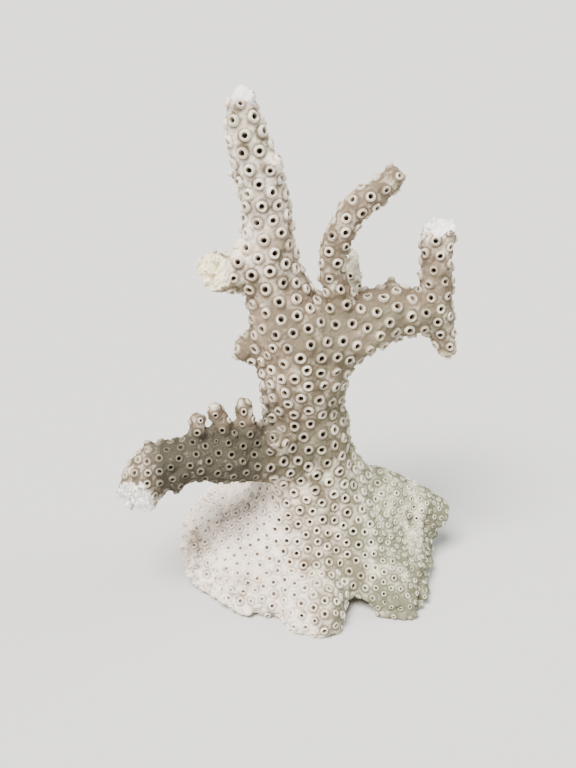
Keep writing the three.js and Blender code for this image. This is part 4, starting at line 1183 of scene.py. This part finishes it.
# =============================================================== materials
def make_material(name, dark):
    mat = bpy.data.materials.new(name)
    mat.use_nodes = True
    nt = mat.node_tree
    nt.nodes.clear()
    new, link = nt.nodes.new, nt.links.new
    out = new("ShaderNodeOutputMaterial")
    bsdf = new("ShaderNodeBsdfPrincipled")
    link(bsdf.outputs["BSDF"], out.inputs["Surface"])
    coord = new("ShaderNodeTexCoord")

    def attr(n):
        a = new("ShaderNodeAttribute")
        a.attribute_type = "GEOMETRY"
        a.attribute_name = n
        return a.outputs["Fac"]

    def noise(scale, detail=4, rough=0.55):
        t = new("ShaderNodeTexNoise")
        t.inputs["Scale"].default_value = scale
        t.inputs["Detail"].default_value = detail
        t.inputs["Roughness"].default_value = rough
        link(coord.outputs["Object"], t.inputs["Vector"])
        return t.outputs["Fac"]

    def math_(op, a, b=None, c=None, clamp=False):
        n = new("ShaderNodeMath")
        n.operation = op
        n.use_clamp = clamp
        for i, v in enumerate((a, b, c)):
            if v is None:
                continue
            if isinstance(v, (int, float)):
                n.inputs[i].default_value = v
            else:
                link(v, n.inputs[i])
        return n.outputs[0]

    def ramp(v, lo, hi, a=0.0, b=1.0):
        n = new("ShaderNodeMapRange")
        n.interpolation_type = "SMOOTHSTEP"
        for k, val in (("From Min", lo), ("From Max", hi), ("To Min", a), ("To Max", b)):
            n.inputs[k].default_value = val
        link(v, n.inputs["Value"])
        return n.outputs["Result"]

    def mix(f, a, b, mode="MIX"):
        n = new("ShaderNodeMix")
        n.data_type = "RGBA"
        n.blend_type = mode
        fac, ca, cb = n.inputs[0], n.inputs[6], n.inputs[7]
        for s, v in ((fac, f), (ca, a), (cb, b)):
            if isinstance(v, (int, float)):
                s.default_value = v
            elif isinstance(v, tuple):
                s.default_value = (*v, 1.0)
            else:
                link(v, s)
        return n.outputs[2]

    n_big, n_mid, n_fine, n_speck = noise(70, 3), noise(320, 5, 0.6), noise(1500, 4, 0.6), noise(3600, 3, 0.7)
    one_minus = lambda v: math_("SUBTRACT", 1.0, v, clamp=True)
    times = lambda u, v: math_("MULTIPLY", u, v, clamp=True)
    # pale ground; its warm-tinted, paler copy is painted warm light
    pale = mix(attr("warm_light_tint"), (0.81, 0.70, 0.55), (0.885, 0.775, 0.67))
    # the cool-tinted, darker copies of the pale ground, the dark ground and the crest are painted cool light and shade
    pale = mix(times(attr("cool_light_tint"), ramp(n_mid, 0.30, 0.75, 0.45, 1.0)), pale, (0.60, 0.61, 0.455))
    dark_c = mix(attr("cool_light_tint"), (0.135, 0.092, 0.056), (0.140, 0.136, 0.082))
    dark_c = mix(attr("olive"), dark_c, (0.034, 0.029, 0.017))
    # ground between the cups: darker with the stain and with painted shade in crevices, at the foot of each cup and on
    # the trunk front; patchy at every size
    dirt_and_shade = math_("ADD", attr("stain_and_shade"), math_("MULTIPLY", math_("SUBTRACT", n_mid, 0.5), 1.1))
    dirt_and_shade = math_("ADD", dirt_and_shade, math_("MULTIPLY", math_("SUBTRACT", n_big, 0.5), 0.5))
    dirt_and_shade = math_("ADD", dirt_and_shade, math_("MULTIPLY", attr("cup_foot_shade"), 0.42), clamp=True)
    dirt_and_shade = math_("ADD", dirt_and_shade, math_("MULTIPLY", math_("SUBTRACT", n_fine, 0.5), 0.6), clamp=True)
    ground = mix(ramp(dirt_and_shade, 0.12, 1.0, 0.0, 0.97), pale, dark_c)
    # the cups' walls and lips are paler than the ground
    # crest colour in warm-lit and cool-lit copies: painted light
    crest = mix(attr("cool_light_tint"), (0.94, 0.84, 0.70), (0.86, 0.86, 0.69))
    crest = mix(attr("warm_light_tint"), crest, (0.945, 0.85, 0.765))
    crest = mix(times(attr("stain_and_shade"), ramp(n_mid, 0.35, 0.70)), crest, (0.48, 0.40, 0.285))
    crest = mix(ramp(n_fine, 0.45, 0.72, 0.0, 0.40), crest, (0.58, 0.49, 0.36))
    crest = mix(math_("MULTIPLY", attr("olive"), 0.86), crest, (0.145, 0.129, 0.086))
    ground = mix(math_("MULTIPLY", attr("rim"), 0.80 if not dark else 0.74), ground, crest)
    shade = mix(attr("olive"), (0.30, 0.225, 0.16), (0.16, 0.13, 0.085))
    ground = mix(math_("MULTIPLY", attr("inner"), 0.72), ground, shade)
    # faint peach patches
    peach = times(times(ramp(n_big, 0.54, 0.70, 0.0, 0.30), one_minus(attr("cool_light_tint"))), one_minus(attr("olive")))
    ground = mix(peach, ground, (0.80, 0.60, 0.44))
    face = mix(attr("warm_face"), (0.96, 0.95, 0.925), (0.96, 0.85, 0.60))
    face = mix(ramp(n_mid, 0.46, 0.72, 0.0, 0.42), face, (0.60, 0.48, 0.31))
    ground = mix(attr("broken"), ground, face)
    ground = mix(math_("MULTIPLY", attr("under"), 0.6), ground, (0.42, 0.37, 0.29))
    # painted shade in the pits: near-black colour inside each cup
    hole = mix(ramp(n_speck, 0.35, 0.7), (0.020, 0.014, 0.010), (0.085, 0.058, 0.038))
    ground = mix(attr("pit"), ground, hole)
    link(ground, bsdf.inputs["Base Color"])
    link(ramp(n_fine, 0.3, 0.75, 0.78, 0.96), bsdf.inputs["Roughness"])
    bsdf.inputs["Specular IOR Level"].default_value = 0.28
    b1 = new("ShaderNodeBump")
    b1.inputs["Strength"].default_value = 0.75
    b1.inputs["Distance"].default_value = 0.00030
    link(math_("ADD", n_fine, math_("MULTIPLY", n_speck, 0.5)), b1.inputs["Height"])
    link(b1.outputs["Normal"], bsdf.inputs["Normal"])
    return mat


MATS = {"bleached_skeleton": make_material("coral_bleached", False), "stained_skeleton": make_material("coral_stained", True)}
SLOT = {p["node"]: p["material_slot"] for p in frame["record"]["subparts"]}


def build(node, tris):
    ids = np.unique(tris)
    pos = W[ids]
    local = np.full(len(W), -1, np.int64)
    local[ids] = np.arange(len(ids))
    t = local[tris]
    loops = ALL_LOOPS[NODES.index(node)]
    extra_p, extra_t = [], []
    nv = len(ids)
    for lp in loops:
        if len(lp) < 3:
            continue
        ll = np.array(lp)
        P, ct = cap(ll, 10 ** 7)
        ct = ct.copy()
        is_new = ct >= 10 ** 7
        ct[is_new] = ct[is_new] - 10 ** 7 + nv
        ct[~is_new] = local[ct[~is_new]]
        extra_p.append(P)
        extra_t.append(ct)
        nv += len(P)
    if extra_p:
        pos = np.vstack([pos] + extra_p)
        t_all = np.vstack([t] + extra_t)
    else:
        t_all = t
    me = bpy.data.meshes.new(node + "_coral")
    me.vertices.add(len(pos))
    me.vertices.foreach_set("co", (pos / 1000.0).astype(np.float32).ravel())
    me.loops.add(len(t_all) * 3)
    me.loops.foreach_set("vertex_index", t_all.ravel().astype(np.int32))
    me.polygons.add(len(t_all))
    me.polygons.foreach_set("loop_start", np.arange(0, len(t_all) * 3, 3, dtype=np.int32))
    me.update(calc_edges=True)
    me.polygons.foreach_set("use_smooth", np.ones(len(t_all), bool))
    for k, v in ATTR.items():
        a = me.attributes.new(k, "FLOAT", "POINT")
        full = np.zeros(len(pos), np.float32)
        full[:len(ids)] = v[ids]
        if k == "broken":
            full[len(ids):] = 1.0
        a.data.foreach_set("value", full)
    # the shading runs on across a fork; a parting face is flat
    nl = NORMAL[ids][t.ravel()]
    if extra_t:
        ct = np.vstack(extra_t)
        fn = np.cross(pos[ct[:, 1]] - pos[ct[:, 0]], pos[ct[:, 2]] - pos[ct[:, 0]])
        fn /= np.linalg.norm(fn, axis=1)[:, None] + 1e-12
        nl = np.vstack([nl, np.repeat(fn, 3, 0)])
    me.normals_split_custom_set(nl.astype(np.float32))
    ob = bpy.data.objects.new(node + "_skeleton", me)
    bpy.context.scene.collection.objects.link(ob)
    me.materials.append(MATS[SLOT[node]])
    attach(ob, "root")
    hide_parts(node)
    note(node, "triangles", len(t_all), "loops", [len(l) for l in loops])
    return ob


total = 0
for i, n in enumerate(NODES):
    tr = T[label == i]
    ob = build(n, tr)
    total += len(ob.data.polygons)
note("total triangles", total)

# =============================================================== floor, light, camera
scene = bpy.context.scene


def plain(name, color, rough):
    m = bpy.data.materials.new(name)
    m.use_nodes = True
    b = m.node_tree.nodes["Principled BSDF"]
    b.inputs["Base Color"].default_value = (*color, 1)
    b.inputs["Roughness"].default_value = rough
    return m


me = bpy.data.meshes.new("floor")
s = 9.0
me.from_pydata([(-s, -s, 0), (s, -s, 0), (s, s, 0), (-s, s, 0)], [], [(0, 1, 2, 3)])
floor = bpy.data.objects.new("floor", me)
scene.collection.objects.link(floor)
me.materials.append(plain("floor_pale", (0.60, 0.59, 0.575), 1.0))
floor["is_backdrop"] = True

world = bpy.data.worlds.new("studio")
scene.world = world
world.use_nodes = True
bg_node = world.node_tree.nodes["Background"]
bg_node.inputs["Color"].default_value = (0.86, 0.90, 0.96, 1)
bg_node.inputs["Strength"].default_value = 0.42


def soft_sun(name, direction, spread, strength, color):
    li = bpy.data.lights.new(name, "SUN")
    li.angle = math.radians(spread)
    li.energy = strength
    li.color = color
    ob = bpy.data.objects.new(name, li)
    scene.collection.objects.link(ob)
    ob.rotation_euler = (-Vector(direction)).to_track_quat("-Z", "Y").to_euler()
    return ob


soft_sun("key", (-0.28, -0.44, 0.85), 30, 9.2, (1.0, 0.98, 0.94))
soft_sun("front_fill", (-0.75, -0.50, 0.42), 50, 1.4, (1.0, 0.94, 0.88))
soft_sun("right_light", (0.80, 0.18, 0.57), 40, 2.3, (0.92, 1.0, 0.94))

cam_data = bpy.data.cameras.new("camera")
cam_data.sensor_fit = "AUTO"
cam_data.sensor_width = 36.0
cam_data.lens = 46.875
cam_data.clip_start = 0.01
cam_data.clip_end = 20
cam = bpy.data.objects.new("camera", cam_data)
scene.collection.objects.link(cam)
cam.location = (-0.0088, -0.27406, 0.18662)
cam.rotation_euler = (math.radians(90 - 24.0), 0, 0)
scene.camera = cam

VISUAL_BOX = [list(map(float, c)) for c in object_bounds()]
note("bounds", CAD_BOX, VISUAL_BOX)
